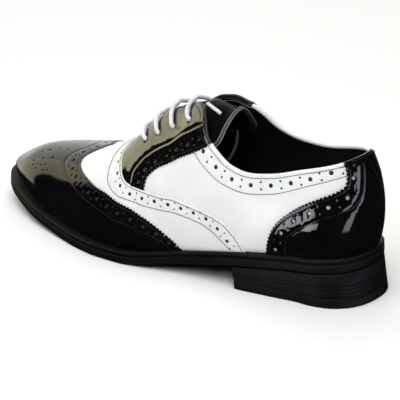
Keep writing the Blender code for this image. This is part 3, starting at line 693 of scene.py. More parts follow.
def top_path(side, soften=0.0022, count=2400):
    """Top line from the throat back to the heel seam, with its corner rounded."""
    runs = np.linspace(run_at(THROAT_END), 0, count)
    line = np.stack([runs, girth_to_length(top_line(station_at(runs), side))], axis=1)
    line = np.concatenate([[[runs[0], LENGTH_SIDE]], line])
    line = even(line, side, FINE_STEP)
    reach = int(4 * soften / FINE_STEP)
    kernel = np.exp(-0.5 * (np.arange(-reach, reach + 1) * FINE_STEP / soften) ** 2)
    kernel /= kernel.sum()
    padded = np.concatenate([2 * line[0] - line[reach:0:-1], line, 2 * line[-1] - line[-2:-reach - 2:-1]])
    soft = kept_flat(np.stack([np.convolve(padded[:, k], kernel, "valid") for k in range(2)], axis=1))
    soft[0] = line[0]
    soft[-1] = line[-1]
    return soft


TOP = {side: top_path(side) for side in SIDES}


def below_top(side, distance):
    """A line that follows the top line of one side at a distance below it."""
    return offset_line(TOP[side], side, distance)


def midway(first, second, side, count):
    """Line half way between two lines, by shares of their lengths."""
    first, second = (even(line, side, walk_of(line, side)[-1] / count) for line in (first, second))
    return first * 0.5 + second * 0.5


def nearest(line, place):
    return int(np.argmin(np.linalg.norm(line - place, axis=1)))


def level(height, flat, side):
    """Height over the last at flat positions, from a number or a function of them."""
    return np.broadcast_to(height(flat, side) if callable(height) else height, len(flat))


def holes_along(line, side, pitch, start, big, small, spread, end):
    """Large holes a pitch apart on a line, with a pair of small ones spread between them."""
    walk = walk_of(line, side)
    count = int((walk[-1] - start - end) / pitch) + 1
    marks = start + pitch * np.arange(count)
    holes = [(p, big) for p in at_walk(line, walk, marks)]
    between = marks + pitch / 2
    between = between[between < walk[-1] - end]
    for way in (1, -1):
        beside = offset_line(line, side, way * spread)
        holes += [(p, small) for p in at_walk(beside, walk, between)]
    return holes


def hole_rings(holes, side, count, wider=0.0):
    """Flat rings of points that are round on the last, one for each (centre, radius)."""
    centres = np.array([centre for centre, _ in holes])
    radii = np.array([radius for _, radius in holes]) + wider
    steps = flat_steps(centres, side)
    first = unit(steps[:, :, 0])
    normal = last_normal(centres[:, 0], length_to_girth(centres[:, 1]), side)
    second = np.cross(normal, first)
    turn = np.linspace(0, 2 * math.pi, count, endpoint=False)[:, None]
    rings = []
    for k, centre in enumerate(centres):
        move = radii[k] * (np.cos(turn) * first[k] + np.sin(turn) * second[k])
        rings.append(centre + move @ np.linalg.pinv(steps[k]).T)
    return rings


def inside(points, outline, chunk=2000):
    """Which flat points lie inside a closed outline."""
    start = outline
    end = np.roll(outline, -1, axis=0)
    rise = np.where(end[:, 1] == start[:, 1], 1, end[:, 1] - start[:, 1])
    result = np.zeros(len(points), bool)
    for k in range(0, len(points), chunk):
        x, y = points[k:k + chunk].T[:, :, None]
        crosses = (start[:, 1] > y) != (end[:, 1] > y)
        at = start[:, 0] + (y - start[:, 1]) / rise * (end[:, 0] - start[:, 0])
        result[k:k + chunk] = np.count_nonzero(crosses & (at > x), axis=1) % 2 == 1
    return result


def in_space(points):
    points = np.asarray(points)
    return np.pad(points, ((0, 0), (0, 3 - points.shape[1])))


def tree_of(points):
    tree = KDTree(len(points))
    for k, p in enumerate(in_space(points)):
        tree.insert(p, k)
    tree.balance()
    return tree


def distances(points, samples):
    """Distance from each point to the nearest sample, both flat or both in space."""
    tree = tree_of(samples)
    return np.array([tree.find(p)[2] for p in in_space(points)])


def half_panel(side, lines, seams, step, top, low=UNDER, holes=(), creases=(), rounding=ROUNDING):
    """One side of a panel: flat outline from lines, of which the listed ones lie on a seam."""
    outline = np.concatenate([line[:-1] for line in lines])
    outline = outline[np.linalg.norm(outline - np.roll(outline, 1, axis=0), axis=1) > SAME_PLACE]
    edges = [line for k, line in enumerate(lines) if k not in seams]
    samples = [on_last(even(line, side, ROUND_SAMPLE), side) for line in edges]
    free = []
    for line in edges:
        fine = even(line, side, ROUND_STEP)
        free += [offset_line(fine, side, rounding * share)[1:-1] for share in ACROSS]
    rings = []
    if len(holes):
        rings = hole_rings(holes, side, HOLE_SIDES)
        for share in HOLE_RIMS:
            free += hole_rings(holes, side, HOLE_SIDES, rounding * share)
        samples.append(on_last(np.concatenate(hole_rings(holes, side, HOLE_SIDES * 2)), side))
    ring_edges = []
    for k in range(len(rings)):
        first = len(outline) + k * HOLE_SIDES
        ring_edges += [(first + i, first + (i + 1) % HOLE_SIDES) for i in range(HOLE_SIDES)]
    for line, half_width, _ in creases:
        fine = even(line, side, TROUGH_STEP)
        free += [offset_line(fine, side, half_width * share) for share in (0.0, *ACROSS)]
    low_corner = outline.min(axis=0)
    high_corner = outline.max(axis=0)
    runs = np.arange(low_corner[0], high_corner[0], step) + step / 2
    lengths = np.arange(low_corner[1], high_corner[1], step * GRID_ROWS) + step * GRID_ROWS / 2
    grid = np.array([(r + (k % 2) * step / 2, v) for r in runs for k, v in enumerate(lengths)])
    fixed = np.concatenate([outline] + rings)
    loose = np.concatenate(free)
    loose = loose[inside(loose, outline)]
    loose = loose[distances(loose, fixed) > rounding * LOOSE_CLEAR]
    grid = grid[inside(grid, outline)]
    grid = grid[distances(grid, np.concatenate([fixed, loose])) > step * GRID_CLEAR]
    flat = [Vector(p) for p in np.concatenate([fixed, loose, grid])]
    ring = list(range(len(outline)))
    flat, _, faces, _, _, _ = delaunay_2d_cdt(flat, ring_edges, [ring], 1, SAME_FLAT)
    flat = np.array([(p.x, p.y) for p in flat])
    flat[:, 1] = np.where(flat[:, 1] > LENGTH_SIDE * RIDGE_GIRTH, LENGTH_SIDE, flat[:, 1])
    faces = np.array([tuple(face) for face in faces])
    base = on_last(flat, side)
    girth = length_to_girth(flat[:, 1])
    on_seam = (girth > RIDGE_GIRTH) | (flat[:, 0] > FULL_RUN - WELD) | (flat[:, 0] < WELD)
    faces = faces[~on_seam[faces].all(axis=1)]
    middle = base[faces].mean(axis=1)
    for centre, radius in holes:
        keep = np.linalg.norm(middle - on_last(centre, side)[0], axis=1) > radius * HOLE_CUT
        faces = faces[keep]
        middle = middle[keep]
    away = np.clip(distances(base, np.concatenate(samples)) / rounding, 0, 1)
    lift = level(top, flat, side) - rounding * (1 - np.sqrt(np.clip(1 - (1 - away) ** 2, 0, 1)))
    for line, half_width, depth in creases:
        trough = on_last(even(line, side, TROUGH_SAMPLE), side)
        lift = lift - depth * hump(distances(base, trough) / half_width)
    normal = last_normal(flat[:, 0], girth, side)
    if side > 0:
        faces = faces[:, ::-1]
    return base + normal * lift[:, None], base + normal * level(low, flat, side)[:, None], faces, on_seam


def joined(halves):
    """Left and right halves of a panel as one, sharing the points of their seams."""
    if len(halves) == 1:
        return halves[0][:3]
    (top_a, low_a, faces_a, seam_a), (top_b, low_b, faces_b, seam_b) = halves
    index_a = np.flatnonzero(seam_a)
    tree = tree_of(top_a[index_a])
    place = np.zeros(len(top_b), int)
    extra = []
    for k in range(len(top_b)):
        hit = tree.find(top_b[k]) if seam_b[k] else (None, 0, 1.0)
        if hit[2] < SEAM_MATCH:
            place[k] = index_a[hit[1]]
        else:
            place[k] = len(top_a) + len(extra)
            extra.append(k)
    top = np.concatenate([top_a, top_b[extra]])
    low = np.concatenate([low_a, low_b[extra]])
    return top, low, np.concatenate([faces_a, place[faces_b]])


def new_object(name, points, faces, materials, face_slots=None):
    mesh = bpy.data.meshes.new(name)
    mesh.from_pydata((np.asarray(points) + SHIFT).tolist(), [], [tuple(map(int, f)) for f in faces])
    for material in materials:
        mesh.materials.append(material)
    if face_slots is not None:
        mesh.polygons.foreach_set("material_index", np.asarray(face_slots, np.int32))
    mesh.shade_smooth()
    obj = bpy.data.objects.new(name, mesh)
    bpy.context.scene.collection.objects.link(obj)
    return obj


def ring_walls(rings, sides, first=0):
    """Quads between rings of points that follow one another."""
    walls = []
    for a in range(first, first + (rings - 1) * sides, sides):
        for i in range(sides):
            j = (i + 1) % sides
            walls.append((a + i, a + j, a + sides + j, a + sides + i))
    return walls


def tube_faces(rings, sides, first=0):
    """Quads of a tube and its two caps."""
    start = tuple(range(first, first + sides))
    end = tuple(i + (rings - 1) * sides for i in start)
    return ring_walls(rings, sides, first) + [start[::-1], end]


def panel(name, halves, materials, sharp=50):
    """A closed shell from half panels: face, underside and edge each with its own material."""
    top, low, faces = joined(halves)
    count = len(top)
    border = {}
    for face in faces:
        for k in range(3):
            a, b = int(face[k]), int(face[(k + 1) % 3])
            if (b, a) in border:
                del border[(b, a)]
            else:
                border[(a, b)] = True
    walls = [(b, a, a + count, b + count) for a, b in border]
    all_faces = [tuple(f) for f in faces] + [tuple(f[::-1] + count) for f in faces] + walls
    slots = [0] * len(faces) + [1] * len(faces) + [2] * len(walls)
    obj = new_object(name, np.concatenate([top, low]), all_faces, materials, slots)
    obj.data.set_sharp_from_angle(angle=math.radians(sharp))
    return obj


def tube(name, path, radius, material, sides, flatten=1.0):
    """A mesh tube along a path of points, with its length in millimetres along V."""
    path = np.asarray(path, float)
    ahead = unit(np.gradient(path, axis=0))
    across = np.cross(ahead[0], [0.0, 0.0, 1.0])
    if np.linalg.norm(across) < 0.1:
        across = np.cross(ahead[0], [0.0, 1.0, 0.0])
    turn = np.linspace(0, 2 * math.pi, sides, endpoint=False)[:, None]
    rings = []
    for p, way in zip(path, ahead):
        across = unit(across - way * (across @ way))
        up = np.cross(across, way)
        rings.append(p + (np.cos(turn) * across + flatten * np.sin(turn) * up) * radius)
    obj = new_object(name, np.concatenate(rings), tube_faces(len(path), sides), [material])
    walk = walked(path) * 1000
    layer = obj.data.uv_layers.new(name="along")
    for loop in obj.data.loops:
        layer.data[loop.index].uv = ((loop.vertex_index % sides) / sides, walk[loop.vertex_index // sides])
    return obj


def stitch_points(line, side, lift, length):
    """Points of each stitch along a line on the last."""
    walk = walk_of(line, side)
    marks = np.arange(STITCH_PITCH / 2, walk[-1] - STITCH_PITCH / 2, STITCH_PITCH)
    rows = []
    for share, rise, _ in STITCH_SHAPE:
        places = at_walk(line, walk, marks + share * length)
        rows.append(on_last(places, side, level(lift, places, side) + rise))
    return np.stack(rows, axis=1)


def stitches(name, rows, radius, material, sides=CORD_SIDES):
    """One mesh of many short threads."""
    points = []
    faces = []
    turn = np.linspace(0, 2 * math.pi, sides, endpoint=False)[:, None]
    for row in rows:
        ahead = unit(row[-1] - row[0])
        across = unit(np.cross(ahead, THREAD_LEAN))
        up = np.cross(across, ahead)
        faces += tube_faces(len(row), sides, len(points) * sides)
        for p, (_, _, share) in zip(row, STITCH_SHAPE):
            points.append(p + radius * share * (np.cos(turn) * across + np.sin(turn) * up))
    return new_object(name, np.concatenate(points), faces, [material])


def discs(name, groups, material, count=12, drop=0.0, thickness=0.0003):
    """Small round backs of holes, one mesh of (holes, side, lift) groups, set a drop under the lift."""
    points = []
    faces = []
    for holes, side, lift in groups:
        rings = hole_rings(holes, side, count, HOLE_BACK)
        for (centre, _), ring in zip(holes, rings):
            base = len(points)
            flat = np.concatenate([ring, [centre, centre]])
            height = level(lift, flat, side) - drop - thickness * (np.arange(len(flat)) > count)
            points += list(on_last(flat, side, height))
            for i in range(count):
                j = (i + 1) % count
                faces.append((base + i, base + j, base + count))
                faces.append((base + j, base + i, base + count + 1))
    return new_object(name, points, faces, [material])


def shader_of(name, values):
    """A new material, its nodes and its shader, with values set on the shader's own sockets."""
    material = bpy.data.materials.new(name)
    material.use_nodes = True
    shader = material.node_tree.nodes["Principled BSDF"]
    for socket, value in values.items():
        shader.inputs[socket].default_value = value
    return material, material.node_tree, shader


def add_bump(tree, shader, layers):
    """Stack bumps on a shader, each from (texture node, output, depth in metres)."""
    previous = None
    for texture, output, depth in layers:
        bump = tree.nodes.new("ShaderNodeBump")
        bump.inputs["Distance"].default_value = depth
        tree.links.new(texture.outputs[output], bump.inputs["Height"])
        if previous:
            tree.links.new(previous.outputs["Normal"], bump.inputs["Normal"])
        previous = bump
    tree.links.new(previous.outputs["Normal"], shader.inputs["Normal"])


def texture_of(tree, kind, scale, detail=2.0):
    node = tree.nodes.new(kind)
    node.inputs["Scale"].default_value = scale
    if "Detail" in node.inputs:
        node.inputs["Detail"].default_value = detail
    place = tree.nodes.new("ShaderNodeTexCoord")
    tree.links.new(place.outputs["Object"], node.inputs["Vector"])
    return node


def add_tone(tree, shader, scale, detail, stops):
    """Base colour that drifts between two (position, colour) stops."""
    ramp = tree.nodes.new("ShaderNodeValToRGB")
    for element, (position, color) in zip(ramp.color_ramp.elements, stops):
        element.position = position
        element.color = (*color, 1.0)
    noise = texture_of(tree, "ShaderNodeTexNoise", scale, detail)
    tree.links.new(noise.outputs["Fac"], ramp.inputs["Fac"])
    tree.links.new(ramp.outputs["Color"], shader.inputs["Base Color"])


def leather(name, dark, light, roughness, grain, grain_depth, coat=0.0, coat_roughness=0.03, wave=0.0,
            coat_ior=1.5):
    """Leather with pores, a slow change of tone and, where coated, a clear gloss over it."""
    material, tree, shader = shader_of(name, {
        "Roughness": roughness,
        "Coat Weight": coat,
        "Coat Roughness": coat_roughness,
        "Coat IOR": coat_ior,
        "Specular IOR Level": 0.5 * (1.0 - coat),
    })
    add_tone(tree, shader, 45.0, 3.0, ((0.35, dark), (0.65, light)))
    layers = [(texture_of(tree, "ShaderNodeTexVoronoi", grain), "Distance", grain_depth)]
    layers.append((texture_of(tree, "ShaderNodeTexNoise", grain * 0.7, 4.0), "Fac", grain_depth))
    if wave:
        layers.append((texture_of(tree, "ShaderNodeTexNoise", 55.0, 1.0), "Fac", wave))
        gloss = tree.nodes.new("ShaderNodeBump")
        gloss.inputs["Distance"].default_value = wave
        tree.links.new(layers[-1][0].outputs["Fac"], gloss.inputs["Height"])
        tree.links.new(gloss.outputs["Normal"], shader.inputs["Coat Normal"])
    add_bump(tree, shader, layers)
    return material


def rubber(name, dark, light, roughness):
    material, tree, shader = shader_of(name, {"Roughness": roughness, "Specular IOR Level": 0.18})
    add_tone(tree, shader, 120.0, 4.0, ((0.3, dark), (0.7, light)))
    add_bump(tree, shader, [(texture_of(tree, "ShaderNodeTexNoise", 1400.0, 3.0), "Fac", 0.00004)])
    return material


def cord_material(name):
    """White braided cord: two crossing waves over the tube's own length."""
    values = {"Base Color": (0.78, 0.78, 0.785, 1.0), "Roughness": 0.75, "Sheen Weight": 0.25}
    material, tree, shader = shader_of(name, values)
    place = tree.nodes.new("ShaderNodeTexCoord")
    layers = []
    for lean in (3.0, -3.0):
        mapping = tree.nodes.new("ShaderNodeMapping")
        mapping.inputs["Scale"].default_value = (lean, 0.55, 1.0)
        tree.links.new(place.outputs["UV"], mapping.inputs["Vector"])
        wave = tree.nodes.new("ShaderNodeTexWave")
        wave.bands_direction = "DIAGONAL"
        wave.inputs["Scale"].default_value = 1.0
        tree.links.new(mapping.outputs["Vector"], wave.inputs["Vector"])
        layers.append((wave, "Fac", 0.00012))
    add_bump(tree, shader, layers)
    return material


WHITE = leather("white_leather", (0.79, 0.80, 0.81), (0.85, 0.855, 0.86), 0.36, 1300.0, 0.00002)
WHITE_EDGE = leather("cream_raw_edge", (0.70, 0.64, 0.48), (0.78, 0.73, 0.58), 0.75, 2500.0, 0.00003)
PATENT = leather("black_patent", (0.002, 0.002, 0.0023), (0.0034, 0.0034, 0.0037), 0.22, 900.0, 4e-6,
                 coat=1.0, coat_roughness=0.02, wave=0.00006)
FACING_PATENT = leather("facing_patent", (0.002, 0.002, 0.0022), (0.0034, 0.0034, 0.0036), 0.22, 900.0, 4e-6,
                        coat=1.0, coat_roughness=0.05, wave=0.00006, coat_ior=2.25)
PATENT_EDGE = leather("black_raw_edge", (0.016, 0.013, 0.011), (0.030, 0.025, 0.020), 0.7, 2500.0, 0.00003)
LINING = leather("black_lining", (0.004, 0.004, 0.0045), (0.007, 0.007, 0.0075), 0.55, 1500.0, 0.00003)
TONGUE_SKIN = leather("black_tongue", (0.003, 0.003, 0.0033), (0.005, 0.005, 0.0053), 0.40, 1100.0, 0.00001,
                      coat=0.95, coat_roughness=0.10, wave=0.00006, coat_ior=1.12)
BINDING = leather("black_binding", (0.016, 0.016, 0.017), (0.024, 0.024, 0.025), 0.34, 1500.0, 0.00002)
# Grey of the thin cords at the tongue's rim and the facings' edges: painted highlight lines along the black
# binding
CORD_PAINTED_HIGHLIGHT = leather("grey_cord_painted_highlight", (0.13, 0.13, 0.12), (0.20, 0.20, 0.185), 0.5, 1500.0, 0.00003)
# Light grey of the lining's seam ridge: a painted highlight on the dark inner wall
SEAM_PAINTED_HIGHLIGHT = leather("seam_painted_highlight", (0.50, 0.50, 0.52), (0.62, 0.62, 0.64), 0.5, 1500.0, 0.00003)
# Dark grey of the discs in the white holes and at the eyelets: painted shade inside the holes
HOLE_PAINTED_SHADE = leather("punched_painted_shade", (0.020, 0.020, 0.021), (0.035, 0.035, 0.036), 0.8, 1500.0, 0.00003)
HOLE_BROWN = leather("punched_brown", (0.040, 0.033, 0.026), (0.070, 0.058, 0.046), 0.7, 1500.0, 0.00003)
GREY_THREAD = leather("grey_thread", (0.075, 0.075, 0.08), (0.12, 0.12, 0.125), 0.6, 3000.0, 0.00004)
BLACK_THREAD = leather("black_thread", (0.012, 0.012, 0.012), (0.03, 0.03, 0.03), 0.5, 3000.0, 0.00004)
RUBBER = rubber("black_rubber", (0.0044, 0.00464, 0.00544), (0.006875, 0.00725, 0.0085), 0.48)
LACE = cord_material("white_lace")


def dress(obj, slot, *nodes):
    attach(obj, "root")
    if nodes:
        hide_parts(*nodes)


# Upper: white skin with its punched collar band, black lining inside
def skin_lines(side, drop):
    """Outline of the skin, or of the lining, whose top edge lies a drop below the top line."""
    top = TOP[side].copy()
    if drop:
        back, full, end, front = LINING_FADE
        stations = station_at(top[:, 0])
        fade = np.clip((stations - back) / (full - back), 0, 1)
        fade = fade * np.clip((front - stations) / (front - end), 0, 1)
        top = below_top(side, drop * (LINING_ENDS + (1 - LINING_ENDS) * fade))
    top[0, 1] = LENGTH_SIDE
    top[-1, 0] = 0.0
    corners = [(0, -LENGTH_TUCK), (FULL_RUN, -LENGTH_TUCK), (FULL_RUN, LENGTH_SIDE), top[0]]
    lines = borders(corners, SKIN_BORDER_STEP) + [even(top, side, EDGE_STEP)]
    return lines + borders([top[-1], corners[0]], SKIN_BORDER_STEP)


def band_line(side, column, front=BAND_FRONT):
    """A line of the collar band, from the facing back to the counter."""
    top = TOP[side]
    line = offset_line(top, side, band[column](station_at(top[:, 0])))
    stations = station_at(line[:, 0])
    return line[(stations < front) & (stations > BAND_BACK)]


skin_halves = []
collar_spots = []
lining_halves = []
for side in SIDES:
    holes = holes_along(band_line(side, "holes", BAND_HOLES_FRONT), side, *COLLAR_PUNCH)
    collar_spots.append((holes, side, SKIN_TOP))
    creases = [(even(band_line(side, name), side, CREASE_STEP), *BAND_TROUGH) for name in BAND_STITCHES]
    lines = skin_lines(side, 0.0)
    skin_halves.append(half_panel(side, lines, (1, 2, 4), SKIN_STEP, SKIN_TOP, SKIN_LOW, holes, creases))
    lines = skin_lines(side, LINING_DROP)
    lining_halves.append(half_panel(side, lines, (1, 2, 4), LINING_STEP, LINING_TOP, LINING_LOW))
dress(panel("upper_skin", skin_halves, [WHITE] * 3), "white_leather", "upper")
dress(panel("upper_lining", lining_halves, [LINING] * 3), "sock_lining", "upper")

# Vamp: white, over the skin, with a punched band and a raw cream edge
vamp_halves = []
vamp_spots = []
grey_rows = []
for side in SIDES:
    plain = edge_curve(VAMP_EDGE)
    back = even(plain, side, FINE_EDGE_STEP)
    front = offset_line(edge_curve(WING_EDGE), side, WING_OVER_VAMP)
    front[0, 1] = LENGTH_SIDE
    front = even(front, side, EDGE_STEP)
    lines = [back, *borders([back[-1], front[-1]]), front[::-1], *borders([front[0], back[0]])]
    holes = holes_along(edge_curve(VAMP_HOLES), side, *VAMP_PUNCH)
    stitched = [offset_line(plain, side, VAMP_ROW), edge_curve(VAMP_STITCH)]
    creases = [(line, *VAMP_TROUGH) for line in stitched]
    vamp_halves.append(half_panel(side, lines, (3,), PANEL_STEP, VAMP_TOP, UNDER, holes, creases))
    vamp_spots.append((holes, side, VAMP_TOP))
    rows = [(line, VAMP_TOP) for line in stitched]
    rows += [(band_line(side, name), SKIN_TOP) for name in BAND_STITCHES]
    grey_rows += [stitch_points(line, side, top - STITCH_SINK, GREY_STITCH) for line, top in rows]
dress(panel("vamp_panel", vamp_halves, [WHITE, WHITE_EDGE, WHITE_EDGE]), "white_leather", "vamp")
# The dark discs cover the white skin under the holes with painted shade
dress(discs("white_hole_painted_shade", vamp_spots + collar_spots, HOLE_PAINTED_SHADE, drop=WHITE_BACK_DROP), "sock_lining")
dress(stitches("grey_stitches", np.concatenate(grey_rows), GREY_RADIUS, GREY_THREAD), "white_lace")

# Wing tip: black patent with a pinked edge, a punched band and the toe medallion
wing_halves = []
patent_spots = []
black_rows = []
for side in SIDES:
    plain = edge_curve(WING_EDGE)
    edge = pinked(plain, side, *WING_TEETH)
    stitch = edge_curve(WING_STITCH)
    lines = [edge, *borders([edge[-1], (FULL_RUN, FOOT_LENGTH), (FULL_RUN, LENGTH_SIDE), edge[0]])]
    holes = holes_along(midway(plain, stitch, side, 300), side, *WING_PUNCH)
    holes += [((run_at(s), girth_to_length(g)), r) for s, g, r in MEDALLION]
    creases = [(stitch, *WING_TROUGH), (offset_line(plain, side, PATENT_ROW), *WING_EDGE_TROUGH)]
    wing_halves.append(half_panel(side, lines, (2, 3), PANEL_STEP, WING_TOP, UNDER, holes, creases))
    patent_spots.append((holes, side, WING_TOP))
    black_rows += [stitch_points(line, side, WING_TOP - depth, BLACK_STITCH) for line, _, depth in creases]
dress(panel("wing_panel", wing_halves, [PATENT, PATENT_EDGE, PATENT_EDGE]), "black_patent", "wing_tip")


def lace_route(station, half_span, count=49):
    """Points of one bar and the flat places under them."""
    lift = FACING_TOP + LACE_RADIUS + LACE_REST
    gap = float(throat_gap(station + LACE_LEAN))
    route = []
    flats = []
    for share in np.linspace(-1, 1, count):
        side = OUTER if share < 0 else INNER
        reach = abs(share) * half_span
        place = station + LACE_LEAN * (1 - share * share)
        low, high = 0.0, 1.0
        for _ in range(BISECTIONS):
            middle = (low + high) / 2
            point = last_point(place, middle, side)
            if abs(point[1] - last["centre"](point[0])) > reach:
                low = middle
            else:
                high = middle
        flat = np.array([run_at(place), girth_to_length(low)])
        sink = LACE_REST * min(1.0, reach / gap) + LACE_DIP * max(0.0, 1 - (reach / gap) ** 2)
        dive = LACE_DIVE * np.clip((abs(share) - LACE_DIVE_FROM) / (1 - LACE_DIVE_FROM), 0, 1) ** 2
        route.append(on_last(flat, side, lift - sink - dive)[0])
        flats.append((flat, side))
    return route, flats


LACE_ROUTES = [lace_route(station, half_span) for station, half_span in LACE_ENDS]


def facing_height(side):
    """Height of a facing, which swells along its raised line and lies flat under the vamp."""
    ridge = edge_curve(FACING_RIDGE)
    swell = on_last(even(offset_line(ridge, side, -SWELL_IN), side, FINE_STEP), side)
    front = on_last(even(edge_curve(VAMP_EDGE), side, FINE_STEP), side)

    def height(flat, side):
        base = on_last(flat, side)
        free = np.clip((distances(base, front) - SWELL_FREE) / SWELL_RISE, 0, 1)
        return FACING_TOP + FACING_SWELL * hump(distances(base, swell) / SWELL_REACH) * ease(free)

    return height


# Facings: patent, with a raised line over the punched band and dents beside the lace
for side, word in WORDS.items():
    plain = edge_curve(FACING_EDGE)
    ridge = edge_curve(FACING_RIDGE)
    low = pinked(plain, side, *FACING_TEETH)
    front = offset_line(edge_curve(VAMP_EDGE), side, VAMP_OVER_FACING)
    top = below_top(side, TOP_INSET)
    foot = nearest(front, low[0])
    low_end = nearest(top, low[-1])
    reach = np.linalg.norm(front[:, None] - top[None], axis=2)
    head, start = np.unravel_index(np.argmin(reach), reach.shape)
    lines = [
        low,
        straight(low[-1], top[low_end]),
        even(top[start:low_end + 1], side, FINE_EDGE_STEP)[::-1],
        straight(top[start], front[head]),
        even(front[head:foot + 1], side, EDGE_STEP),
        straight(front[foot], low[0]),
    ]
    holes = holes_along(midway(plain, ridge, side, 200), side, *FACING_PUNCH)
    row = offset_line(plain, side, -FACING_ROW)
    rear = even(below_top(side, REAR_ROW)[start:low_end + 1], side, CREASE_STEP)
    rear = rear[station_at(rear[:, 0]) < REAR_FRONT]
    creases = [
        (ridge, *FACING_RAISE),
        (offset_line(ridge, side, -FACING_TROUGH_ROW), *FACING_TROUGH),
        (row, *EDGE_TROUGH),
        (rear, *REAR_TROUGH),
    ]
    for _, flats in LACE_ROUTES:
        beside = [flat for flat, lace_side in flats[2:-2] if lace_side == side]
        creases.append((np.array(beside), *LACE_DENT))
    height = facing_height(side)
    half = half_panel(side, lines, (), FACING_STEP, height, UNDER, holes, creases)
    facing = panel(f"facing_{word}_panel", [half], [FACING_PATENT, PATENT_EDGE, PATENT_EDGE])
    dress(facing, "black_patent", f"facing_{word}")
    patent_spots.append((holes, side, height))
    black_rows += [stitch_points(line, side, height, BLACK_STITCH) for line in (row, rear)]

# Counter: patent, with a pinked edge and the white skin showing through its holes
counter_halves = []
for side in SIDES:
    plain = edge_curve(COUNTER_EDGE)
    edge = pinked(plain, side, *COUNTER_TEETH)
    top = below_top(side, TOP_INSET)
    top = top[nearest(top, edge[-1]):]
    top[-1, 0] = 0.0
    lines = [
        straight((0, FOOT_LENGTH), edge[0], BORDER_STEP),
        edge,
        straight(edge[-1], top[0]),
        even(top, side, CREASE_STEP),
        straight(top[-1], (0, FOOT_LENGTH), BORDER_STEP),
    ]
    holes = holes_along(edge_curve(COUNTER_HOLES), side, *COUNTER_PUNCH)
    row = offset_line(plain, side, PATENT_ROW)
    creases = [(edge_curve(COUNTER_STITCH), *COUNTER_TROUGH), (row, *EDGE_TROUGH)]
    counter_halves.append(
        half_panel(side, lines, (4,), COUNTER_STEP, COUNTER_TOP, UNDER, holes, creases, COUNTER_ROUNDING))
    black_rows += [stitch_points(line, side, COUNTER_TOP - depth, BLACK_STITCH) for line, _, depth in creases]
counter = panel("counter_panel", counter_halves, [PATENT, PATENT_EDGE, PATENT_EDGE])
dress(counter, "black_patent", "heel_counter")
dress(discs("patent_hole_backs", patent_spots, HOLE_BROWN, drop=PATENT_BACK_DROP), "sock_lining")
dress(stitches("black_stitches", np.concatenate(black_rows), BLACK_RADIUS, BLACK_THREAD), "black_patent")


# Tongue with its bound top
def tongue_top(flat, side):
    s = station_at(flat[:, 0])
    g = length_to_girth(flat[:, 1])
    share = np.clip((TONGUE_SINK_FROM - s) / (TONGUE_SINK_FROM - TONGUE_SINK_TO), 0, 1)
    middle = np.clip((g - TONGUE_SIDE) / (1 - TONGUE_SIDE), 0, 1)
    return -(WALL + TONGUE_CLEAR) - TONGUE_SINK * ease(share) * np.sqrt(middle)


def tongue_low(flat, side):
    return tongue_top(flat, side) - TONGUE_THICKNESS


tongue_halves = []
tongue_rim = []
for side, word in WORDS.items():
    edge = even(edge_curve(TONGUE_EDGE), side, EDGE_STEP)
    lines = [edge, *borders([edge[-1], edge[0]])]
    tongue_halves.append(
        half_panel(side, lines, (1,), TONGUE_STEP, tongue_top, tongue_low, rounding=TONGUE_ROUNDING))
    rim = edge[station_at(edge[:, 0]) < TONGUE_RIM_FRONT]
    tongue_rim.append(on_last(rim, side, tongue_top(rim, side) - TONGUE_THICKNESS / 2))
    # Grey cords along the rim, their grey a painted highlight on the binding
    for k, (step, lift) in enumerate(TONGUE_CORDS):
        cord = offset_line(rim, side, step)
        cord = on_last(cord, side, tongue_top(cord, side) + lift)
        dress(tube(f"tongue_cord_{word}_{k + 1}", cord, TONGUE_CORD_RADIUS, CORD_PAINTED_HIGHLIGHT, CORD_SIDES), "black_tongue")
dress(panel("tongue_panel", tongue_halves, [TONGUE_SKIN, LINING, TONGUE_SKIN]), "black_tongue", "tongue")
rim_path = np.concatenate([tongue_rim[0], tongue_rim[1][::-1][1:]])
dress(tube("tongue_binding", rim_path, TONGUE_BINDING, BINDING, BEAD_SIDES), "black_tongue")

# Rolled collar edge, white at the quarters and black over the counter, and the facings' edge
back_path = []
for side, word in WORDS.items():
    top = TOP[side]
    stations = station_at(top[:, 0])
    roll = below_top(side, ROLL_RADIUS * ROLL_INSET)[(stations < ROLL_REACH[1]) & (stations > ROLL_REACH[0])]
    roll = on_last(even(roll, side, ROLL_STEP), side, -ROLL_SINK)
    dress(tube(f"collar_bead_{word}", roll, ROLL_RADIUS, WHITE, ROLL_SIDES), "white_leather")
    rest = even(top[(stations >= FACING_REACH[0]) & (stations < FACING_REACH[1])], side, EDGE_STEP)
    bead = on_last(rest, side, FACING_BEAD_LIFT)
    dress(tube(f"facing_bead_{word}", bead, BEAD_RADIUS, BINDING, BEAD_SIDES), "black_patent")
    # The grey facing and lining cords are thin ridges whose grey is a painted highlight along the bound edges
    inset, radius = FACING_CORD
    cord = on_last(offset_line(rest, side, inset), side, FACING_TOP)
    dress(tube(f"facing_cord_{word}", cord, radius, CORD_PAINTED_HIGHLIGHT, CORD_SIDES), "black_patent")
    inset, radius = LINING_CORD
    cord = on_last(offset_line(rest, side, inset), side, LINING_LOW)
    dress(tube(f"lining_cord_{word}", cord, radius, CORD_PAINTED_HIGHLIGHT, CORD_SIDES), "sock_lining")
    back = on_last(even(top[stations <= BACK_REACH_END], side, EDGE_STEP), side, -BACK_BEAD_SINK)
    back_path.append(back if side > 0 else back[::-1][1:])
dress(tube("collar_bead_back", np.concatenate(back_path), BEAD_RADIUS, PATENT, ROLL_SIDES), "black_patent")
# Light grey ridge on the inner lining: painted highlight
seam = on_last(even(edge_curve(LINING_SEAM), INNER, EDGE_STEP), INNER, LINING_LOW - SEAM_SINK)
dress(tube("lining_seam_painted_highlight", seam, BEAD_RADIUS, SEAM_PAINTED_HIGHLIGHT, BEAD_SIDES), "sock_lining")

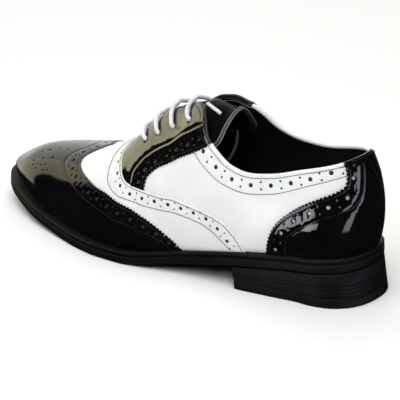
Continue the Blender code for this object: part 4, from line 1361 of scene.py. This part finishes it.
# Lace through its eyelets, and the bit of it that shows on the tongue
eyelet_groups = []
for k, (route, flats) in enumerate(LACE_ROUTES):
    cord = tube(f"lace_cord_{k + 1}", route, LACE_RADIUS, LACE, LACE_SIDES, LACE_FLATTEN)
    dress(cord, "white_lace", f"lace_bar_{k + 1}")
    for flat, side in (flats[0], flats[-1]):
        eyelet_groups.append(([(flat, EYELET_RADIUS)], side, facing_height(side)))
# Dark discs at the lace ends: painted shade of the eyelet holes
dress(discs("eyelets", eyelet_groups, HOLE_PAINTED_SHADE, EYELET_SIDES), "black_patent")
bit = np.array([on_last([run_at(x), girth_to_length(g)], OUTER, lift)[0] for x, g, lift in LACE_BIT])
walk = walked(bit)
marks = np.linspace(0, walk[-1], LACE_BIT_POINTS)
bit = np.stack([smooth_curve(walk, bit[:, k], round_slopes)(marks) for k in range(3)], axis=1)
dress(tube("lace_bit", bit, LACE_RADIUS * LACE_BIT_SHARE, LACE, LACE_SIDES, LACE_FLATTEN), "white_lace")


# Sole and heel
def sole_plan(share, side, x_to=SOLE_TIP):
    x = SOLE_BACK + (x_to - SOLE_BACK) * share
    half = sole["outer"](x) if side > 0 else sole["inner"](x)
    half = half * end_closing(x, SOLE_BACK, SOLE_HEEL_ROUND, SOLE_TIP, SOLE_TOE_ROUND)
    return np.stack([x, sole["centre"](x) + side * half], axis=1)


def sole_outline(count=161, samples=4000):
    """Closed outline of the sole, with its points spread evenly."""
    fine = (1 - np.cos(np.linspace(0, math.pi, samples))) / 2
    walk = walked(sole_plan(fine, OUTER))
    share = np.interp(np.linspace(0, 1, count) * walk[-1], walk, fine)
    return np.concatenate([sole_plan(share, OUTER), sole_plan(share, INNER)[-2:0:-1]])


def stacked(name, loops, material, sharp=40):
    """Solid from closed loops of points, stacked from the lowest up and capped with strips."""
    count = len(loops[0])
    points = np.concatenate(loops)
    faces = ring_walls(len(loops), count)
    top = (len(loops) - 1) * count
    for i in range(count // 2):
        ring = list(dict.fromkeys([i, i + 1, count - 1 - i, (count - i) % count]))
        if len(ring) >= 3:
            faces.append(tuple(ring[::-1]))
            faces.append(tuple(top + r for r in ring))
    obj = new_object(name, points, faces, [material])
    bm = bmesh.new()
    bm.from_mesh(obj.data)
    bmesh.ops.remove_doubles(bm, verts=bm.verts, dist=STACK_MATCH)
    bmesh.ops.recalc_face_normals(bm, faces=bm.faces)
    bm.to_mesh(obj.data)
    bm.free()
    obj.data.shade_smooth()
    obj.data.set_sharp_from_angle(angle=math.radians(sharp))
    return obj


def inset_loop(loop, distance):
    ahead = np.roll(loop, -1, axis=0) - np.roll(loop, 1, axis=0)
    return loop - unit(np.stack([-ahead[:, 1], ahead[:, 0]], axis=1)) * distance


sole_loop = sole_outline()
loops = []
for share, depth in SOLE_SIDE_ROWS:
    plan = inset_loop(sole_loop, depth)
    x = plan[:, 0]
    loops.append(np.column_stack([plan, sole["bottom"](x) + share * sole["thickness"](x)]))
dress(stacked("sole_body", loops, RUBBER), "black_rubber", "outsole")


def heel_loop(share, depth, count=70):
    """Heel outline at a share of its height, from the outer breast round the back and across."""
    walk = 1 - np.cos(np.linspace(0, math.pi / 2, count))
    outer = sole_plan(walk, OUTER, HEEL_BREAST)
    inner = sole_plan(walk, INNER, HEEL_BREAST)
    line = np.concatenate([outer[::-1], inner[1:]])
    ahead = np.gradient(line, axis=0)
    normal = unit(np.stack([ahead[:, 1], -ahead[:, 0]], axis=1))
    flare = SIDE_FLARE + (BACK_FLARE - SIDE_FLARE) * np.clip(-normal[:, 0], 0, 1)
    moved = line + normal * (flare * (1 - share) - depth)[:, None]
    slant = BREAST_SLANT * (1 - share)
    moved[:, 0] -= slant * np.clip(line[:, 0] / HEEL_BREAST, 0, 1) ** 2
    moved[0, 0] = HEEL_BREAST - slant
    moved[-1, 0] = HEEL_BREAST - slant
    return np.roll(moved, -(count - 1), axis=0)


def heel_top(x):
    return sole["bottom"](x) - GAP


foot = LIFT_HEIGHT + GAP
heel_height = float(heel_top(HEEL_MIDDLE))
foot_share = foot / heel_height
marks = list(HEEL_FOOT_ROWS)
for share, depth in RIB_ROWS:
    for step, part in ((-RIB_HALF, 0), (-RIB_HALF / 3, 1), (RIB_HALF / 3, 1), (RIB_HALF, 0)):
        marks.append((share + step, depth * part))
loops = []
for share, depth in marks + HEEL_HEAD_ROWS:
    plan = heel_loop(foot_share + (1 - foot_share) * share, depth)
    loops.append(np.column_stack([plan, foot + share * (heel_top(plan[:, 0]) - foot)]))
dress(stacked("heel_body", loops, RUBBER), "black_rubber", "heel_block")
loops = []
for height, depth in LIFT_ROWS:
    plan = heel_loop(height / heel_height, depth)
    loops.append(np.column_stack([plan, np.full(len(plan), height)]))
dress(stacked("heel_top_piece", loops, RUBBER), "black_rubber", "heel_lift")

# Insole keeps its solid and gets the lining leather
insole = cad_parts["insole"]
insole.data.materials.clear()
insole.data.materials.append(LINING)

# Floor, light and camera
CAMERA_TURN = 36.9
CAMERA_RISE = 21.4
CAMERA_AWAY = 1.4
CAMERA_LENS = 196.056
CAMERA_SENSOR = 36.0
TARGET = Vector(SHIFT + np.array([0.1353, 0.0, 0.033]))


def toward(azimuth, elevation):
    a = math.radians(azimuth)
    e = math.radians(elevation)
    return Vector((math.cos(a) * math.cos(e), math.sin(a) * math.cos(e), math.sin(e)))


def aim(obj, place, target):
    obj.location = place
    obj.rotation_euler = (target - place).to_track_quat("-Z", "Y").to_euler()


def softbox(name, azimuth, elevation, away, width, height, power, color=(1.0, 1.0, 1.0)):
    light = bpy.data.lights.new(name, "AREA")
    light.shape = "RECTANGLE"
    light.size = width
    light.size_y = height
    light.energy = power
    light.color = color
    obj = bpy.data.objects.new(name, light)
    bpy.context.scene.collection.objects.link(obj)
    aim(obj, TARGET + toward(azimuth, elevation) * away, TARGET)
    return obj


floor_mesh = bpy.data.meshes.new("floor")
floor_mesh.from_pydata([(-6, -6, 0), (6, -6, 0), (6, 6, 0), (-6, 6, 0)], [], [(0, 1, 2, 3)])
floor_look = {"Base Color": (0.90, 0.90, 0.90, 1.0), "Roughness": 0.9}
floor_mesh.materials.append(shader_of("pale_floor", floor_look)[0])
floor = bpy.data.objects.new("floor", floor_mesh)
bpy.context.scene.collection.objects.link(floor)
floor.visible_glossy = False

world = bpy.data.worlds.new("studio")
bpy.context.scene.world = world
world.use_nodes = True
sky_tree = world.node_tree
sky = sky_tree.nodes["Background"]
sky.inputs["Strength"].default_value = 1.0
sky_place = sky_tree.nodes.new("ShaderNodeTexCoord")
sky_axes = sky_tree.nodes.new("ShaderNodeSeparateXYZ")
sky_tree.links.new(sky_place.outputs["Generated"], sky_axes.inputs["Vector"])
sky_x, sky_y, sky_z = sky_axes.outputs


def sky_math(operation, *values):
    node = sky_tree.nodes.new("ShaderNodeMath")
    node.operation = operation
    for socket, value in zip(node.inputs, values):
        if isinstance(value, (int, float)):
            socket.default_value = value
        else:
            sky_tree.links.new(value, socket)
    return node.outputs["Value"]


def sky_step(value, edge, soft):
    """Soft rise from 0 to 1 as an angle passes an edge, both the edge and the softness in degrees."""
    node = sky_tree.nodes.new("ShaderNodeMapRange")
    node.interpolation_type = "SMOOTHSTEP"
    sky_tree.links.new(value, node.inputs["Value"])
    node.inputs["From Min"].default_value = math.radians(edge - soft)
    node.inputs["From Max"].default_value = math.radians(edge + soft)
    return node.outputs["Result"]


def sky_window(middle, half_width, low, high, soft, slant):
    """Mask of a window around an azimuth that may slant, and between two elevations, in degrees."""
    away = math.radians(middle)
    cosine = math.cos(away)
    sine = math.sin(away)
    across = sky_math("SUBTRACT", sky_math("MULTIPLY", sky_y, cosine), sky_math("MULTIPLY", sky_x, sine))
    ahead = sky_math("ADD", sky_math("MULTIPLY", sky_x, cosine), sky_math("MULTIPLY", sky_y, sine))
    rise = sky_math("ARCSINE", sky_z)
    turn = sky_math("SUBTRACT", sky_math("ARCTAN2", across, ahead), sky_math("MULTIPLY", rise, slant))
    outside = sky_step(sky_math("ABSOLUTE", turn), half_width, soft)
    height = sky_math("SUBTRACT", sky_step(rise, low, soft), sky_step(rise, high, soft))
    return sky_math("MULTIPLY", sky_math("SUBTRACT", 1.0, outside), height)


def sky_mix(mask, under, over):
    node = sky_tree.nodes.new("ShaderNodeMix")
    node.data_type = "RGBA"
    sky_tree.links.new(mask, node.inputs["Factor"])
    for name, color in (("A", under), ("B", over)):
        socket = [i for i in node.inputs if i.name == name and i.type == "RGBA"][0]
        if isinstance(color, tuple):
            socket.default_value = (*color, 1.0)
        else:
            sky_tree.links.new(color, socket)
    return [o for o in node.outputs if o.type == "RGBA"][0]


# Dark room with a grey and an olive panel behind the shoe and a cool window behind the heel,
# as (azimuth, half width, lowest, highest, softness, slant, colour), with the angles in degrees
ROOM = (0.010, 0.010, 0.011)
ROOM_PANELS = (
    (-44, 34, -12, 52, 5.0, 0.0, (1.00, 0.99, 0.95)),
    (-5, 15, -12, 50, 2.5, 0.0, (1.42, 1.31, 0.86)),
    (189, 9, -24, 14, 2.0, 1.4, (2.9, 3.1, 3.6)),
)
color = ROOM
for *window, panel_color in ROOM_PANELS:
    color = sky_mix(sky_window(*window), color, panel_color)
sky_tree.links.new(color, sky.inputs["Color"])

# Lights; only the key and the card show in the gloss, and the card gleams on the counter alone
softbox("key_top", 110, 68, 1.6, 1.4, 1.4, 16.5)
overhead = softbox("overhead", 0, 89, 3.0, 5.0, 5.0, 46.0)
fill = softbox("fill_front", 118, 38, 2.2, 1.6, 0.9, 13.2)
side_fill = softbox("fill_toe", 60, 30, 2.2, 1.4, 0.9, 6.0, (0.82, 0.88, 1.0))
wash = softbox("floor_wash", 0, 89, 1.2, 1.3, 1.0, 1.4)
wash_place = TARGET + toward(-53, 0) * 0.85
aim(wash, wash_place + Vector((0, 0, 1.2)), wash_place)
wash.data.spread = math.radians(90)
for light in (overhead, fill, side_fill, wash):
    light.visible_glossy = False
card = softbox("counter_card", 90, 0, 0.1, 0.090, 0.055, 0.012, (0.90, 0.94, 1.0))
aim(card, Vector((-0.070, 0.200, 0.006)), Vector((-0.136, 0.030, 0.049)))
card.data.spread = math.radians(64)
card.visible_diffuse = False
card.visible_camera = False

camera_data = bpy.data.cameras.new("camera")
camera_data.lens = CAMERA_LENS
camera_data.sensor_width = CAMERA_SENSOR
camera_data.clip_end = 20.0
camera = bpy.data.objects.new("camera", camera_data)
bpy.context.scene.collection.objects.link(camera)
aim(camera, TARGET + toward(90 + CAMERA_TURN, CAMERA_RISE) * CAMERA_AWAY, TARGET)
bpy.context.scene.camera = camera
bpy.context.scene.view_settings.view_transform = "Standard"
